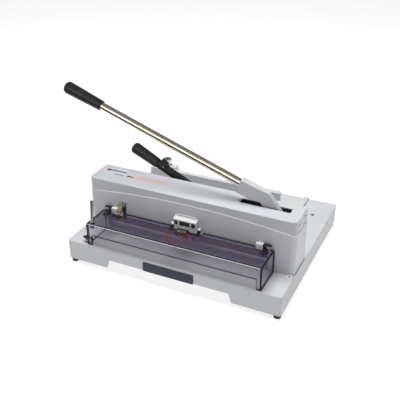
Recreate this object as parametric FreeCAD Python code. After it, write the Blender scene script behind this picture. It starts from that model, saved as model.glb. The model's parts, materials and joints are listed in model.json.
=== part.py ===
"""Heavy table-top guillotine paper cutter, as an assembly of separate pieces.

Millimetres, +Z up, +X to the user's right, +Y away from the user. Working
coordinates start at the base's front left corner, at the lower edge of its
apron. The last step moves every piece so that the origin is the centre of
the whole machine's bounding box, at the level that its feet stand on.
"""

import FreeCAD
import Part
import math
import os
from FreeCAD import Vector

X_AXIS = Vector(1, 0, 0)
Y_AXIS = Vector(0, 1, 0)
Z_AXIS = Vector(0, 0, 1)
FULL_TURN = 360.0
HALF_TURN = 180.0
SAME_PLACE = 1e-4
SAME_WAY = 1e-6
OVER = 1.0  # how far a cutting tool runs past the face that it cuts

# ---- Base: a pressed table plate with an apron, open underneath ----
BASE_W = 600.0
BASE_D = 494.0
BASE_H = 55.0
DECK_T = 6.0
APRON_T = 4.0
BASE_CORNER_R = 6.5
BASE_EDGE_R = 1.5
APRON_CUT_LEFT = 119.0
APRON_CUT_RIGHT = 127.0
APRON_CUT_SLOPE = 8.0
APRON_CUT_H = 25.0
DECK_Z = BASE_H
DECK_UNDER_Z = DECK_Z - DECK_T

FOOT_R = 10.0
FOOT_TOP_R = 9.0
FOOT_H = 12.0
FOOT_INSET = 12.0
FOOT_BOSS_R = 11.0
FOOT_SCREW_R = 2.5
FOOT_SCREW_HEAD_R = 4.5
FOOT_SCREW_HEAD_H = 3.0
FOOT_SCREW_RECESS = 4.5
FOOT_SCREW_DEPTH = 14.0

PLATE_W = 141.0
PLATE_OFFSET = 0.5  # to the right of the table's middle
PLATE_LEFT = (BASE_W - PLATE_W) / 2 + PLATE_OFFSET
PLATE_LOW = 24.0
PLATE_H = 26.0
PLATE_PROUD = 2.0
PLATE_CORNER_R = 2.5
PLATE_PEG_R = 2.0
PLATE_PEG_INSET = 23.5

# ---- Throat: the gap that the paper goes through ----
THROAT_LEFT = 70.0
THROAT_RIGHT_MARGIN = 70.0
THROAT_H = 34.0
THROAT_X0 = THROAT_LEFT
THROAT_X1 = BASE_W - THROAT_RIGHT_MARGIN
THROAT_Z1 = DECK_Z + THROAT_H

# ---- Layers across the housing, from its front wall to its rear wall ----
HOUSING_Y0 = 94.0
HOUSING_LEFT_INSET = 18.0
HOUSING_RIGHT_INSET = 3.0
HOUSING_X0 = HOUSING_LEFT_INSET
HOUSING_X1 = BASE_W - HOUSING_RIGHT_INSET
WALL = 3.0
LEDGE_STEP = 1.5
CARRIER_GAP = 1.5
CARRIER_T = 10.0
BLADE_T = 4.0
SLIDE_GAP = 1.0
BRIDGE_T = 10.0
BEAM_D = 26.0
ARM_GAP = 1.5
ARM_T = 15.0
REAR_BRIDGE_GAP = 11.5
REAR_BRIDGE_T = 8.0
REAR_GAP = 9.1
REAR_COVER_T = 2.5
CARRIER_Y0 = HOUSING_Y0 + LEDGE_STEP + WALL + CARRIER_GAP
CARRIER_Y1 = CARRIER_Y0 + CARRIER_T
BRIDGE_Y0 = CARRIER_Y1 + SLIDE_GAP
BRIDGE_Y1 = BRIDGE_Y0 + BRIDGE_T
BEAM_Y0 = CARRIER_Y1 + SLIDE_GAP
BEAM_Y1 = BEAM_Y0 + BEAM_D
ARM_Y0 = BEAM_Y1 + ARM_GAP
ARM_Y1 = ARM_Y0 + ARM_T
ARM_MID_Y = (ARM_Y0 + ARM_Y1) / 2
REAR_BRIDGE_Y0 = ARM_Y1 + REAR_BRIDGE_GAP
REAR_BRIDGE_Y1 = REAR_BRIDGE_Y0 + REAR_BRIDGE_T
HOUSING_Y1 = REAR_BRIDGE_Y1 + REAR_GAP + REAR_COVER_T
REAR_COVER_Y0 = HOUSING_Y1 - REAR_COVER_T

# ---- Main lever's swing, and the swinging cut that it drives ----
LEVER_REST = 19.4  # degrees that the tube stands above the horizontal
LEVER_DOWN = 9.0
LEVER_UP = 32.0
LEVER_SWING = LEVER_DOWN + LEVER_UP
HALF_SWING = LEVER_SWING / 2
CUT_TILT = 22.0  # degrees that the blade's path leans from the vertical
BLADE_OVERSHOOT = 1.0
STICK_CLEARANCE = 0.3
BLADE_RISE = THROAT_H + BLADE_OVERSHOOT
CRANK_R = BLADE_RISE / (2 * math.sin(math.radians(HALF_SWING)) * math.cos(math.radians(CUT_TILT)))
CRANK_MID = HALF_TURN + CUT_TILT
CRANK_REST = CRANK_MID + (LEVER_UP - LEVER_DOWN) / 2
CRANK_LOWEST = CRANK_MID + HALF_SWING
BLADE_STROKE = 2 * CRANK_R * math.sin(math.radians(HALF_SWING))
BLADE_DOWN = BLADE_STROKE * LEVER_DOWN / LEVER_SWING
BLADE_UP = BLADE_STROKE - BLADE_DOWN
PATH_X = -math.sin(math.radians(CUT_TILT))
PATH_Z = math.cos(math.radians(CUT_TILT))

# ---- Heights inside the housing ----
BEAM_CLEARANCE = 1.0
BEAM_H = 16.0
PIN_R = 6.0
PIN_OVER_BEAM = 3.5
PIVOT_DROP = 52.0
TOP_T = 3.0
BEAM_Z0 = THROAT_Z1 + BEAM_CLEARANCE
BEAM_Z1 = BEAM_Z0 + BEAM_H
CRANK_DROP = CRANK_R * math.sin(math.radians(CRANK_LOWEST - HALF_TURN))
PIVOT_Z = BEAM_Z1 + PIN_OVER_BEAM + PIN_R + CRANK_DROP
HOUSING_TOP = PIVOT_Z + PIVOT_DROP
PIVOT_FROM_RIGHT = 52.0
PIVOT_X = HOUSING_X1 - PIVOT_FROM_RIGHT
CRANK_X = PIVOT_X + CRANK_R * math.cos(math.radians(CRANK_REST))
CRANK_Z = PIVOT_Z + CRANK_R * math.sin(math.radians(CRANK_REST))

# ---- Housing shells ----
HOUSING_CORNER_R = 14.0
REAR_CORNER_R = 4.0
LEDGE_BELOW_TOP = 40.0
LEDGE_RISE = 19.5
LEDGE_Z = HOUSING_TOP - LEDGE_BELOW_TOP
TOP_EDGE_R = 2.0
SLOT_LEFT = 111.0
SLOT_RIGHT = 20.5
SLOT_CORNER_R = 4.0
SLOT_UNDERCUT = 1.05  # how much narrower than the arm's socket the slot is, each side
THROAT_LIP_T = 1.5
THROAT_LIP_H = 18.0
INTERLOCK_SLOT_FROM_LEFT = 100.0
INTERLOCK_SLOT_W = 12.5
INTERLOCK_SLOT_H = 55.0
INTERLOCK_SLOT_BELOW_TOP = 54.0
COVER_SCREW_R = 2.0
COVER_SCREW_HEAD_R = 4.0
COVER_SCREW_HEAD_H = 1.8
COVER_SCREW_INSET = 14.0
BOLT_HOLE_GAP = 0.05

# ---- Side frames and bridges ----
FRAME_GAP = 0.5
FRAME_T = 12.0
FRAME_Y0 = HOUSING_Y0 + HOUSING_CORNER_R
FRAME_TOP_GAP = 9.0
FRAME_Z1 = HOUSING_TOP - FRAME_TOP_GAP
LEFT_FRAME_X0 = HOUSING_X0 + LEDGE_STEP + WALL + FRAME_GAP
LEFT_FRAME_X1 = LEFT_FRAME_X0 + FRAME_T
RIGHT_FRAME_X1 = HOUSING_X1 - LEDGE_STEP - WALL - FRAME_GAP
RIGHT_FRAME_X0 = RIGHT_FRAME_X1 - FRAME_T
BRIDGE_OVER_BEAM = 12.0
BRIDGE_Z0 = BEAM_Z1 + BRIDGE_OVER_BEAM
BRIDGE_Z1 = HOUSING_TOP - BRIDGE_OVER_BEAM
FRAME_BOLT_R = 3.0
FRAME_BOLT_DEPTH = 14.0
FRAME_BOLT_INSET = 15.0

# ---- Blade and its carrier ----
CARRIER_MARGIN = 18.0
CARRIER_OVER_DECK = 37.0
CARRIER_UNDER_PIVOT = 4.0
CARRIER_X0 = THROAT_X0 - CARRIER_MARGIN
CARRIER_X1 = THROAT_X1 + CARRIER_MARGIN
CARRIER_Z0 = DECK_Z + CARRIER_OVER_DECK
CARRIER_Z1 = PIVOT_Z - CARRIER_UNDER_PIVOT
BLADE_MARGIN = 13.0
BLADE_LAP = 20.0
BLADE_BEVEL_H = 11.0
BLADE_X0 = THROAT_X0 - BLADE_MARGIN
BLADE_X1 = THROAT_X1 + BLADE_MARGIN
BLADE_EDGE_Z = DECK_Z + STICK_CLEARANCE + BLADE_DOWN * PATH_Z
BLADE_TOP_Z = CARRIER_Z0 + BLADE_LAP
BLADE_Y0 = CARRIER_Y1 - BLADE_T
BLADE_SCREW_COUNT = 6
BLADE_SCREW_R = 3.0
BLADE_SCREW_HEAD_R = 5.0
BLADE_SCREW_HEAD_H = 3.0
BLADE_SCREW_END_GAP = 30.0
ROLLER_R = 9.0
ROLLER_FIT = 0.05
ROLLER_PLAY = 0.5
GUIDE_BOLT_FROM_ENDS = (78.0, 148.0)
GUIDE_BOLT_R = 6.0
GUIDE_BOLT_PLAY = 0.4
GUIDE_BOLT_BELOW_PIVOT = 15.0
GUIDE_WASHER_R = 10.0
GUIDE_WASHER_T = 3.0
GUIDE_WASHER_GAP = 0.5

# ---- Cutting stick, let into the table under the blade ----
STICK_D = 10.0
STICK_T = 9.0
STICK_LEAD = 5.5
STICK_END_MARGIN = 22.0
STICK_RIB_WALL = 5.0
STICK_RIB_FLOOR = 4.0
STICK_Y0 = CARRIER_Y1 - STICK_LEAD
STICK_X0 = THROAT_X0 - STICK_END_MARGIN
STICK_X1 = THROAT_X1 + STICK_END_MARGIN

# ---- Clamp: beam, posts, springs, crank and lever ----
BEAM_END_GAP = 5.0
BEAM_X0 = LEFT_FRAME_X1 + BEAM_END_GAP
BEAM_X1 = RIGHT_FRAME_X0 - BEAM_END_GAP
POST_R = 5.0
POST_FIT = 0.06
POST_INSET = 10.5
POST_OVER_BEAM = 5.0
POST_FROM_REAR = 8.0
POST_Y = BEAM_Y1 - POST_FROM_REAR
POST_HEAD_R = 7.5
POST_HEAD_T = 2.0
SPRING_R0 = 5.8
SPRING_R1 = 8.4
SPRING_SEAT_R = 9.3
SPRING_SEAT_DEPTH = 12.0
SPRING_GAP = 0.2
SPRING_TURNS = 8
CLAMP_OFFSET = 12.5  # to the right of the housing's middle
CLAMP_X = (HOUSING_X0 + HOUSING_X1) / 2 + CLAMP_OFFSET
CLAMP_BELOW_TOP = 49.0
CLAMP_Z = HOUSING_TOP - CLAMP_BELOW_TOP
CLAMP_SWING = 40.0
CLAMP_REST = 26.0  # degrees that the clamp lever stands above the horizontal
CLAMP_CRANK_R = THROAT_H / (2 * math.sin(math.radians(CLAMP_SWING / 2)))
CLAMP_PIN_R = 4.5
CLAMP_PIN_X = CLAMP_X - CLAMP_CRANK_R * math.cos(math.radians(CLAMP_SWING / 2))
CLAMP_PIN_Z = CLAMP_Z + CLAMP_CRANK_R * math.sin(math.radians(CLAMP_SWING / 2))
CLAMP_PIN_PLAY = 0.4
YOKE_T = 8.0
YOKE_GAP = 2.0
YOKE_Y0 = BRIDGE_Y1 + YOKE_GAP
YOKE_Y1 = YOKE_Y0 + YOKE_T
YOKE_SIDE = 22.0
YOKE_OVER_PIN = 10.0
CLAMP_CRANK_T = 10.0
CLAMP_CRANK_GAP = 1.5
CLAMP_CRANK_Y0 = YOKE_Y1 + CLAMP_CRANK_GAP
CLAMP_CRANK_Y1 = CLAMP_CRANK_Y0 + CLAMP_CRANK_T
CLAMP_SHAFT_R = 8.0
CLAMP_SHAFT_FIT = 0.05
CLAMP_HUB_R = 15.0
CLAMP_PIN_BOSS_R = 9.0
BUSH_WALL = 4.0
BUSH_FLANGE = 3.0
BUSH_R = CLAMP_SHAFT_R + BUSH_WALL
BUSH_FLANGE_R = BUSH_R + BUSH_FLANGE
BUSH_FLANGE_T = 2.0
CLAMP_LEVER_GAP = 3.4
CLAMP_LEVER_MID = 17.4  # from the housing's rear face to the lever's middle
CLAMP_LEVER_Y = HOUSING_Y1 + CLAMP_LEVER_MID
CLAMP_HUB_OUT_R = 19.0
CLAMP_HUB_Y0 = HOUSING_Y1 + CLAMP_LEVER_GAP
CLAMP_HUB_REAR = 9.0
CLAMP_HUB_Y1 = CLAMP_LEVER_Y + CLAMP_HUB_REAR
CLAMP_BAR_W = 19.0
CLAMP_BAR_T = 12.0
CLAMP_BAR_LIP = 3.0
CLAMP_BAR_GROOVE = 3.0
CLAMP_GRIP_START = 166.0
CLAMP_GRIP_L = 82.0
CLAMP_TANG_R = 8.0
CLAMP_GRIP_WALL = 5.5
CLAMP_GRIP_SWELL = 2.0
CLAMP_TANG_SHORT = 13.0
CLAMP_GRIP_END = CLAMP_GRIP_START + CLAMP_GRIP_L
CLAMP_GRIP_R0 = CLAMP_TANG_R + CLAMP_GRIP_WALL
CLAMP_GRIP_R1 = CLAMP_GRIP_R0 + CLAMP_GRIP_SWELL
CLAMP_TANG_END = CLAMP_GRIP_END - CLAMP_TANG_SHORT
TRIGGER_FROM_GRIP = 5.0
TRIGGER_LENGTH = 20.0
TRIGGER_R = 5.0
TRIGGER_SIDE_T = 4.0
TRIGGER_GAP = 0.3
TRIGGER_HEEL = 2.0
TRIGGER_PIN_R = 1.5
TRIGGER_LIFT = 3.4
CLAMP_NUT_CORNER_R = 11.7
NUT_SIDES = 6
CLAMP_NUT_T = 5.0

# ---- Main lever ----
TUBE_R = 10.35
TUBE_WALL = 2.0
TUBE_ABOVE_PIVOT = 56.7
TUBE_START = 118.0
ARM_END = 140.0
ARM_TOP_WALL = 2.65
ARM_BEND_ALONG = 64.0
ARM_BEND_ABOVE = 71.0
ARM_SOCKET_BASE = 33.0
ARM_NOTCH = (103.0, 32.0)
ARM_ARCH = (77.0, 39.0)
ARM_HEEL = (65.4, 31.6)
ARM_NECK_TILT = 34.0  # degrees between the neck and the tube
ARM_HUB_R = 22.6
ARM_SOCKET_WALL = 1.4
ARM_SOCKET_W = (TUBE_R + ARM_SOCKET_WALL) * 2
ARM_CUT_REACH = ARM_HUB_R * 4  # past every point of the arm
ARM_PIN_BOSS_R = 12.0
GRIP_START = 552.0
GRIP_L = 113.0
GRIP_WALL = 2.95
GRIP_SWELL = 3.3
TUBE_SHORT = 25.0
GRIP_END = GRIP_START + GRIP_L
GRIP_R0 = TUBE_R + GRIP_WALL
GRIP_R1 = GRIP_R0 + GRIP_SWELL
TUBE_END = GRIP_END - TUBE_SHORT
GRIP_NOSE = 9.0
GRIP_NOSE_SHOULDER = 3.15
GRIP_NOSE_DROP = 1.62
GRIP_NOSE_END_DROP = 5.58
GRIP_COLLAR = 5.0
GRIP_COLLAR_DROP = 1.25
LEVER_SHAFT_R = 9.0
LEVER_BUSH_WALL = 3.0
LEVER_BUSH_R = LEVER_SHAFT_R + LEVER_BUSH_WALL
LEVER_BUSH_FIT = 0.05
LEVER_BUSH_PROUD = 0.8
SHAFT_SCREW_R = 3.0
SHAFT_SCREW_HEAD_R = 7.0
SHAFT_SCREW_HEAD_T = 3.0
SHAFT_SCREW_DEPTH = 12.0

# ---- Safety cover over the front table ----
GUARD_T = 5.0
GUARD_FROM_HOUSING = 43.2
GUARD_X0 = HOUSING_X0 + GUARD_FROM_HOUSING
GUARD_RIGHT_MARGIN = 53.0
GUARD_X1 = BASE_W - GUARD_RIGHT_MARGIN
GUARD_Y0 = 4.8
GUARD_H = 63.2
GUARD_FRONT_GAP = 28.6
GUARD_COLUMN_W = 14.0
GUARD_FLOOR_GAP = 0.4
GUARD_REAR_GAP = 1.5
GUARD_NOTCH_D = 12.0
GUARD_CORNER_R = 6.0
GUARD_EDGE_R = 2.5
GUARD_TOP_Z = DECK_Z + GUARD_H
GUARD_REAR_Y = HOUSING_Y0 - GUARD_REAR_GAP
HINGE_ABOVE = 9.0
HINGE_BEFORE = 6.0
HINGE_Y = HOUSING_Y0 - HINGE_BEFORE
HINGE_Z = GUARD_TOP_Z + HINGE_ABOVE
HINGE_PIN_R = 2.0
HINGE_FIT = 0.06
BLOCK_W = 18.0
BLOCK_H = 10.6
BLOCK_D = 11.8
BLOCK_EDGE_R = 1.2
EAR_T = 8.0
EAR_R = 5.0
EAR_GAP = 0.6
EAR_FOOT_D = 20.0
EAR_FOOT_T = 2.6
EAR_FOOT_SPREAD = 6.0
EAR_BAR_W = 21.0
EAR_BAR_T = 2.4
EAR_BAR_D = 6.0
LEFT_BLOCK_FROM_GUARD = 29.4
RIGHT_BLOCK_FROM_GUARD = 29.0
NOTCH_SIDE_GAP = 2.5
CENTRE_OFFSET = 5.9  # to the right of the cover's middle
CENTRE_X = (GUARD_X0 + GUARD_X1) / 2 + CENTRE_OFFSET
CENTRE_W = 64.0
CENTRE_PLATE_T = 2.0
CENTRE_H = 23.0
CENTRE_TOP_RISE = 13.0
CENTRE_DEPTH = 11.4
CENTRE_POST_W = 5.0
CENTRE_LIP_D = 7.0
CENTRE_BUSH_R = 4.4
CENTRE_BUSH_W = 9.0
CENTRE_KNUCKLE_W = 10.0
HOOK_W = 34.0
HOOK_T = 1.6
HOOK_FOOT_D = 18.0
HOOK_LIP_H = 4.0
HOOK_LEFT_OF_CENTRE = 5.0
ROD_R = 4.5
ROD_LENGTH = 68.0
ROD_LEAN = 4.0
ROD_IN_X = 15.0
ROD_IN_Y = 6.8
ROD_NUT_R = 6.4
ROD_NUT_H = 3.6
KNOB_Y = 15.5
KNOB_ABOVE_DECK = 13.0
KNOB_R = 6.7
KNOB_OUT = 20.0
KNOB_NECK_L = 4.3
KNOB_NECK_R = 4.0
KNOB_INNER_R = 5.0
KNOB_INNER_T = 4.0
KNOB_STUD_R = 3.0

# ---- Interlock lever beside the cover ----
INTERLOCK_T = 5.0
INTERLOCK_PIN_R = 1.0
INTERLOCK_FIT = 0.06
INTERLOCK_HUB_R = 4.0
INTERLOCK_TOE_R = 4.0
INTERLOCK_TOE_OUT = 19.0
INTERLOCK_TOE_GAP = 0.6
INTERLOCK_PIN_OUT = 1.5
INTERLOCK_X = HOUSING_X0 + INTERLOCK_SLOT_FROM_LEFT + INTERLOCK_SLOT_W / 2

# ---- Rear table: side guides, scale and back gauge ----
GUIDE_X0 = THROAT_X0
GUIDE_W = 22.0
GUIDE_H = 17.0
GUIDE_FRONT_GAP = 6.0
GUIDE_REAR_MARGIN = 9.0
GUIDE_Y0 = HOUSING_Y1 + GUIDE_FRONT_GAP
GUIDE_Y1 = BASE_D - GUIDE_REAR_MARGIN
GUIDE_X1 = GUIDE_X0 + GUIDE_W
RIGHT_GUIDE_INSET = 13.0
RIGHT_GUIDE_X1 = THROAT_X1 - RIGHT_GUIDE_INSET
RIGHT_GUIDE_W = 14.0
RIGHT_GUIDE_H = 6.0
SCALE_W = 10.0
SCALE_T = 1.0
GAUGE_PAST_RAIL = 34.0
GAUGE_END_GAP = 60.0
GAUGE_FROM_REAR = 98.0
GAUGE_X0 = GUIDE_X0 - GAUGE_PAST_RAIL
GAUGE_X1 = RIGHT_GUIDE_X1 - GAUGE_END_GAP
GAUGE_Y0 = BASE_D - GAUGE_FROM_REAR
GAUGE_T = 6.0
GAUGE_H = 50.0
GAUGE_FLANGE_D = 10.0
GAUGE_LIFT = 0.4
GAUGE_SLIDE_GAP = 0.3
GAUGE_Y1 = GAUGE_Y0 + GAUGE_T
GAUGE_TOP = DECK_Z + GAUGE_LIFT + GAUGE_H
SLIDER_SIDE = 12.0
SLIDER_D = 46.0
SLIDER_H = 26.0
SLIDER_Z1 = DECK_Z + GUIDE_H + SLIDER_H
SHELF_T = 4.0
SHELF_W = 56.0
SHELF_D = 24.0
LOCK_POST_R = 5.0
LOCK_FIT = 0.08
LOCK_KNOB_R = 14.0
LOCK_KNOB_H = 21.0
LOCK_KNOB_GAP = 0.6
LOCK_KNOB_FLUTES = 8
LOCK_FLUTE_R = 3.0
LOCK_HUB_R = 9.0
LOCK_POST_H = 15.75
LOCK_LEFT_OF_RAIL = 1.0
TABLE_SCREW_R = 2.5
TABLE_SCREW_HEAD_R = 5.0
TABLE_SCREW_HEAD_T = 1.8
REAR_SCREW_FROM_REAR = 89.0
REAR_SCREW_FROM_RIGHT = 47.0
LEFT_SCREW_FROM_LEFT = 22.0
FRONT_SCREW_BEFORE_WALL = 6.0
FRONT_SCREW_FROM_RIGHT = 11.0


# ---- Small building helpers ----
def box(x0, x1, y0, y1, z0, z1):
    """Block between two opposite corners."""
    return Part.makeBox(x1 - x0, y1 - y0, z1 - z0, Vector(x0, y0, z0))


def rod(axis, centre, radius, length):
    """Solid cylinder from centre, along axis."""
    return Part.makeCylinder(radius, length, centre, axis)


def rod_x(x0, x1, y, z, radius):
    """Cylinder along X."""
    return rod(X_AXIS, Vector(x0, y, z), radius, x1 - x0)


def rod_y(x, y0, y1, z, radius):
    """Cylinder along Y."""
    return rod(Y_AXIS, Vector(x, y0, z), radius, y1 - y0)


def rod_z(x, y, z0, z1, radius):
    """Cylinder along Z."""
    return rod(Z_AXIS, Vector(x, y, z0), radius, z1 - z0)


def join(shapes):
    """One solid from pieces that overlap or touch."""
    first = shapes[0]
    return first.fuse(shapes[1:]).removeSplitter() if len(shapes) > 1 else first


def group(shapes):
    """Several separate solids kept in one node."""
    return Part.makeCompound(shapes)


def prism_y(points, y0, y1):
    """Straight-sided outline in X and Z, extruded along Y."""
    corners = [Vector(x, y0, z) for x, z in points]
    face = Part.Face(Part.makePolygon(corners + corners[:1]))
    return face.extrude(Vector(0, y1 - y0, 0))


def prism_x(points, x0, x1):
    """Straight-sided outline in Y and Z, extruded along X."""
    corners = [Vector(x0, y, z) for y, z in points]
    face = Part.Face(Part.makePolygon(corners + corners[:1]))
    return face.extrude(Vector(x1 - x0, 0, 0))


def link_y(x_a, z_a, r_a, x_b, z_b, r_b, y0, y1):
    """Flat link: two round ends joined by their outer tangents."""
    dx = x_b - x_a
    dz = z_b - z_a
    length = math.hypot(dx, dz)
    heading = math.atan2(dz, dx)
    spread = math.acos((r_a - r_b) / length)
    points = []
    for turn in (heading + spread, heading - spread):
        sin_t = math.sin(turn)
        cos_t = math.cos(turn)
        points.append((x_a + r_a * cos_t, z_a + r_a * sin_t))
        points.append((x_b + r_b * cos_t, z_b + r_b * sin_t))
    outline = [points[0], points[1], points[3], points[2]]
    ends = [rod_y(x_a, y0, y1, z_a, r_a), rod_y(x_b, y0, y1, z_b, r_b)]
    return join([prism_y(outline, y0, y1)] + ends)


def slot_y(x_a, z_a, x_b, z_b, radius, y0, y1):
    """Round-ended slot cutter between two centres."""
    return link_y(x_a, z_a, radius, x_b, z_b, radius, y0, y1)


def edges_along(shape, axis, test):
    """Straight edges parallel to axis whose middle passes the test."""
    found = []
    for edge in shape.Edges:
        if not isinstance(edge.Curve, Part.Line):
            continue
        if abs(abs(edge.Curve.Direction.dot(axis)) - 1) > SAME_WAY:
            continue
        middle = edge.valueAt((edge.FirstParameter + edge.LastParameter) / 2)
        if test(middle):
            found.append(edge)
    return found


def round_edges(shape, radius, axis, test=lambda middle: True):
    """Fillet the straight edges along axis that pass the test."""
    return shape.makeFillet(radius, edges_along(shape, axis, test))


def rounded_block(x0, x1, y0, y1, z0, z1, front_r, rear_r):
    """Block whose upright edges are rounded, front and rear by their own radius."""
    block = box(x0, x1, y0, y1, z0, z1)
    middle_y = (y0 + y1) / 2
    block = round_edges(block, front_r, Z_AXIS, lambda middle: middle.y < middle_y)
    return round_edges(block, rear_r, Z_AXIS, lambda middle: middle.y > middle_y)


def top_edges(shape, z):
    """Every edge that lies wholly at height z."""
    return [edge for edge in shape.Edges
            if abs(edge.BoundBox.ZMin - z) < SAME_PLACE and abs(edge.BoundBox.ZMax - z) < SAME_PLACE]


def revolve_about(origin, direction, side, profile):
    """Turn a closed profile of (along, out) points about a line."""
    corners = [origin + direction * along + side * out for along, out in profile]
    face = Part.Face(Part.makePolygon(corners + corners[:1]))
    return face.revolve(origin, direction, FULL_TURN)


def lever_point(along, above):
    """Place a point given along the tube and above the pivot, at rest."""
    lift = math.radians(LEVER_REST)
    x = PIVOT_X - along * math.cos(lift) + above * math.sin(lift)
    z = PIVOT_Z + along * math.sin(lift) + above * math.cos(lift)
    return x, z


def clamp_point(along, above):
    """The same for the clamp lever, about its own shaft."""
    lift = math.radians(CLAMP_REST)
    x = CLAMP_X - along * math.cos(lift) + above * math.sin(lift)
    z = CLAMP_Z + along * math.sin(lift) + above * math.cos(lift)
    return x, z


def lever_axes(rest):
    """Unit vectors along a lever and square to it, upwards."""
    lift = math.radians(rest)
    along = Vector(-math.cos(lift), 0, math.sin(lift))
    above = Vector(math.sin(lift), 0, math.cos(lift))
    return along, above


def spaced(first, last, count):
    """Evenly spaced places, both ends included."""
    return [first + (last - first) * index / (count - 1) for index in range(count)]


# ---- Base ----
def foot_places():
    """Centres of the four feet."""
    xs = (FOOT_INSET, BASE_W - FOOT_INSET)
    ys = (FOOT_INSET, BASE_D - FOOT_INSET)
    return [(x, y) for x in xs for y in ys]


def apron_cutout():
    """Hand clearance in the front apron, wider at its foot."""
    x0 = APRON_CUT_LEFT
    x1 = BASE_W - APRON_CUT_RIGHT
    outline = [(x0 - OVER * APRON_CUT_SLOPE / APRON_CUT_H, -OVER),
               (x0 + APRON_CUT_SLOPE, APRON_CUT_H),
               (x1 - APRON_CUT_SLOPE, APRON_CUT_H),
               (x1 + OVER * APRON_CUT_SLOPE / APRON_CUT_H, -OVER)]
    return prism_y(outline, -OVER, APRON_T + OVER)


def base_shell():
    """Table plate and apron in one, hollow below."""
    outer = rounded_block(0, BASE_W, 0, BASE_D, 0, DECK_Z, BASE_CORNER_R, BASE_CORNER_R)
    outer = outer.makeFillet(BASE_EDGE_R, top_edges(outer, DECK_Z))
    inner_r = BASE_CORNER_R - APRON_T
    inner = rounded_block(APRON_T, BASE_W - APRON_T, APRON_T, BASE_D - APRON_T,
                          -OVER, DECK_UNDER_Z, inner_r, inner_r)
    return outer.cut(inner)


def stick_channel(grow, z0, z1):
    """Block around the cutting stick, for the rib and for the groove."""
    return box(STICK_X0 - grow, STICK_X1 + grow,
               STICK_Y0 - grow, STICK_Y0 + STICK_D + grow, z0, z1)


def base_casting():
    """Base with foot bosses, apron cut-out, stick groove and screw holes."""
    pieces = [base_shell()]
    for x, y in foot_places():
        pieces.append(rod_z(x, y, 0, DECK_UNDER_Z + OVER, FOOT_BOSS_R))
    stick_z0 = DECK_Z - STICK_T
    pieces.append(stick_channel(STICK_RIB_WALL, stick_z0 - STICK_RIB_FLOOR, DECK_UNDER_Z + OVER))
    base = join(pieces)
    cuts = [apron_cutout(), stick_channel(0, stick_z0, DECK_Z + OVER)]
    for x, y in foot_places():
        cuts.append(rod_z(x, y, -OVER, FOOT_SCREW_DEPTH, FOOT_SCREW_R))
    for x, y in table_screw_places():
        cuts.append(rod_z(x, y, DECK_UNDER_Z - OVER, DECK_Z + OVER, TABLE_SCREW_R))
    for x in plate_peg_places():
        cuts.append(rod_y(x, -OVER, APRON_T + OVER, plate_middle_z(), PLATE_PEG_R))
    return base.cut(cuts)


def foot(x, y):
    """Rubber foot with a sunk hole for its screw."""
    body = Part.makeCone(FOOT_R, FOOT_TOP_R, FOOT_H, Vector(x, y, -FOOT_H), Z_AXIS)
    hole = rod_z(x, y, -FOOT_H - OVER, OVER, FOOT_SCREW_R)
    sink = rod_z(x, y, -FOOT_H - OVER, -FOOT_H + FOOT_SCREW_RECESS, FOOT_SCREW_HEAD_R)
    return body.cut([hole, sink])


def feet():
    """The four identical feet."""
    return group([foot(x, y) for x, y in foot_places()])


def foot_screws():
    """Screws up through the feet into the base's bosses."""
    screws = []
    for x, y in foot_places():
        head_z = -FOOT_H + FOOT_SCREW_RECESS
        head = rod_z(x, y, head_z - FOOT_SCREW_HEAD_H, head_z, FOOT_SCREW_HEAD_R)
        shank = rod_z(x, y, head_z, FOOT_SCREW_DEPTH, FOOT_SCREW_R)
        screws.append(join([head, shank]))
    return group(screws)


def plate_middle_z():
    """Height of the front plate's middle."""
    return PLATE_LOW + PLATE_H / 2


def plate_peg_places():
    """The two pegs that hold the front plate."""
    return (PLATE_LEFT + PLATE_PEG_INSET, PLATE_LEFT + PLATE_W - PLATE_PEG_INSET)


def front_plate():
    """Badge plate on the front apron, with two pegs through it."""
    plate = box(PLATE_LEFT, PLATE_LEFT + PLATE_W, -PLATE_PROUD, 0, PLATE_LOW, PLATE_LOW + PLATE_H)
    plate = round_edges(plate, PLATE_CORNER_R, Y_AXIS)
    pegs = [rod_y(x, -PLATE_PROUD / 2, APRON_T, plate_middle_z(), PLATE_PEG_R)
            for x in plate_peg_places()]
    return join([plate] + pegs)


def cutting_stick():
    """Plastic stick that the edge lands on."""
    return stick_channel(0, DECK_Z - STICK_T, DECK_Z)


def table_screw_places():
    """Screws that show on the table's surface."""
    rear_y = BASE_D - REAR_SCREW_FROM_REAR
    return ((BASE_W - REAR_SCREW_FROM_RIGHT, rear_y),
            (BASE_W - FRONT_SCREW_FROM_RIGHT, HOUSING_Y0 - FRONT_SCREW_BEFORE_WALL),
            (LEFT_SCREW_FROM_LEFT, rear_y))


def table_screws():
    """Pan-head screws on the table."""
    screws = []
    for x, y in table_screw_places():
        shank = rod_z(x, y, DECK_UNDER_Z, DECK_Z, TABLE_SCREW_R)
        head = rod_z(x, y, DECK_Z, DECK_Z + TABLE_SCREW_HEAD_T, TABLE_SCREW_HEAD_R)
        screws.append(join([shank, head]))
    return group(screws)


# ---- Housing ----
def above_ledge():
    """Everything above the arched joint line of the two housing shells."""
    x_mid = (HOUSING_X0 + HOUSING_X1) / 2
    far_left = HOUSING_X0 - WALL
    far_right = HOUSING_X1 + WALL
    high = HOUSING_TOP + WALL
    y0 = HOUSING_Y0 - WALL
    left = Vector(far_left, y0, LEDGE_Z)
    crown = Vector(x_mid, y0, LEDGE_Z + LEDGE_RISE)
    right = Vector(far_right, y0, LEDGE_Z)
    high_right = Vector(far_right, y0, high)
    high_left = Vector(far_left, y0, high)
    edges = [Part.Arc(left, crown, right).toShape(),
             Part.makeLine(right, high_right),
             Part.makeLine(high_right, high_left),
             Part.makeLine(high_left, left)]
    face = Part.Face(Part.Wire(edges))
    return face.extrude(Vector(0, HOUSING_Y1 - HOUSING_Y0 + 2 * WALL, 0))


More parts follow.
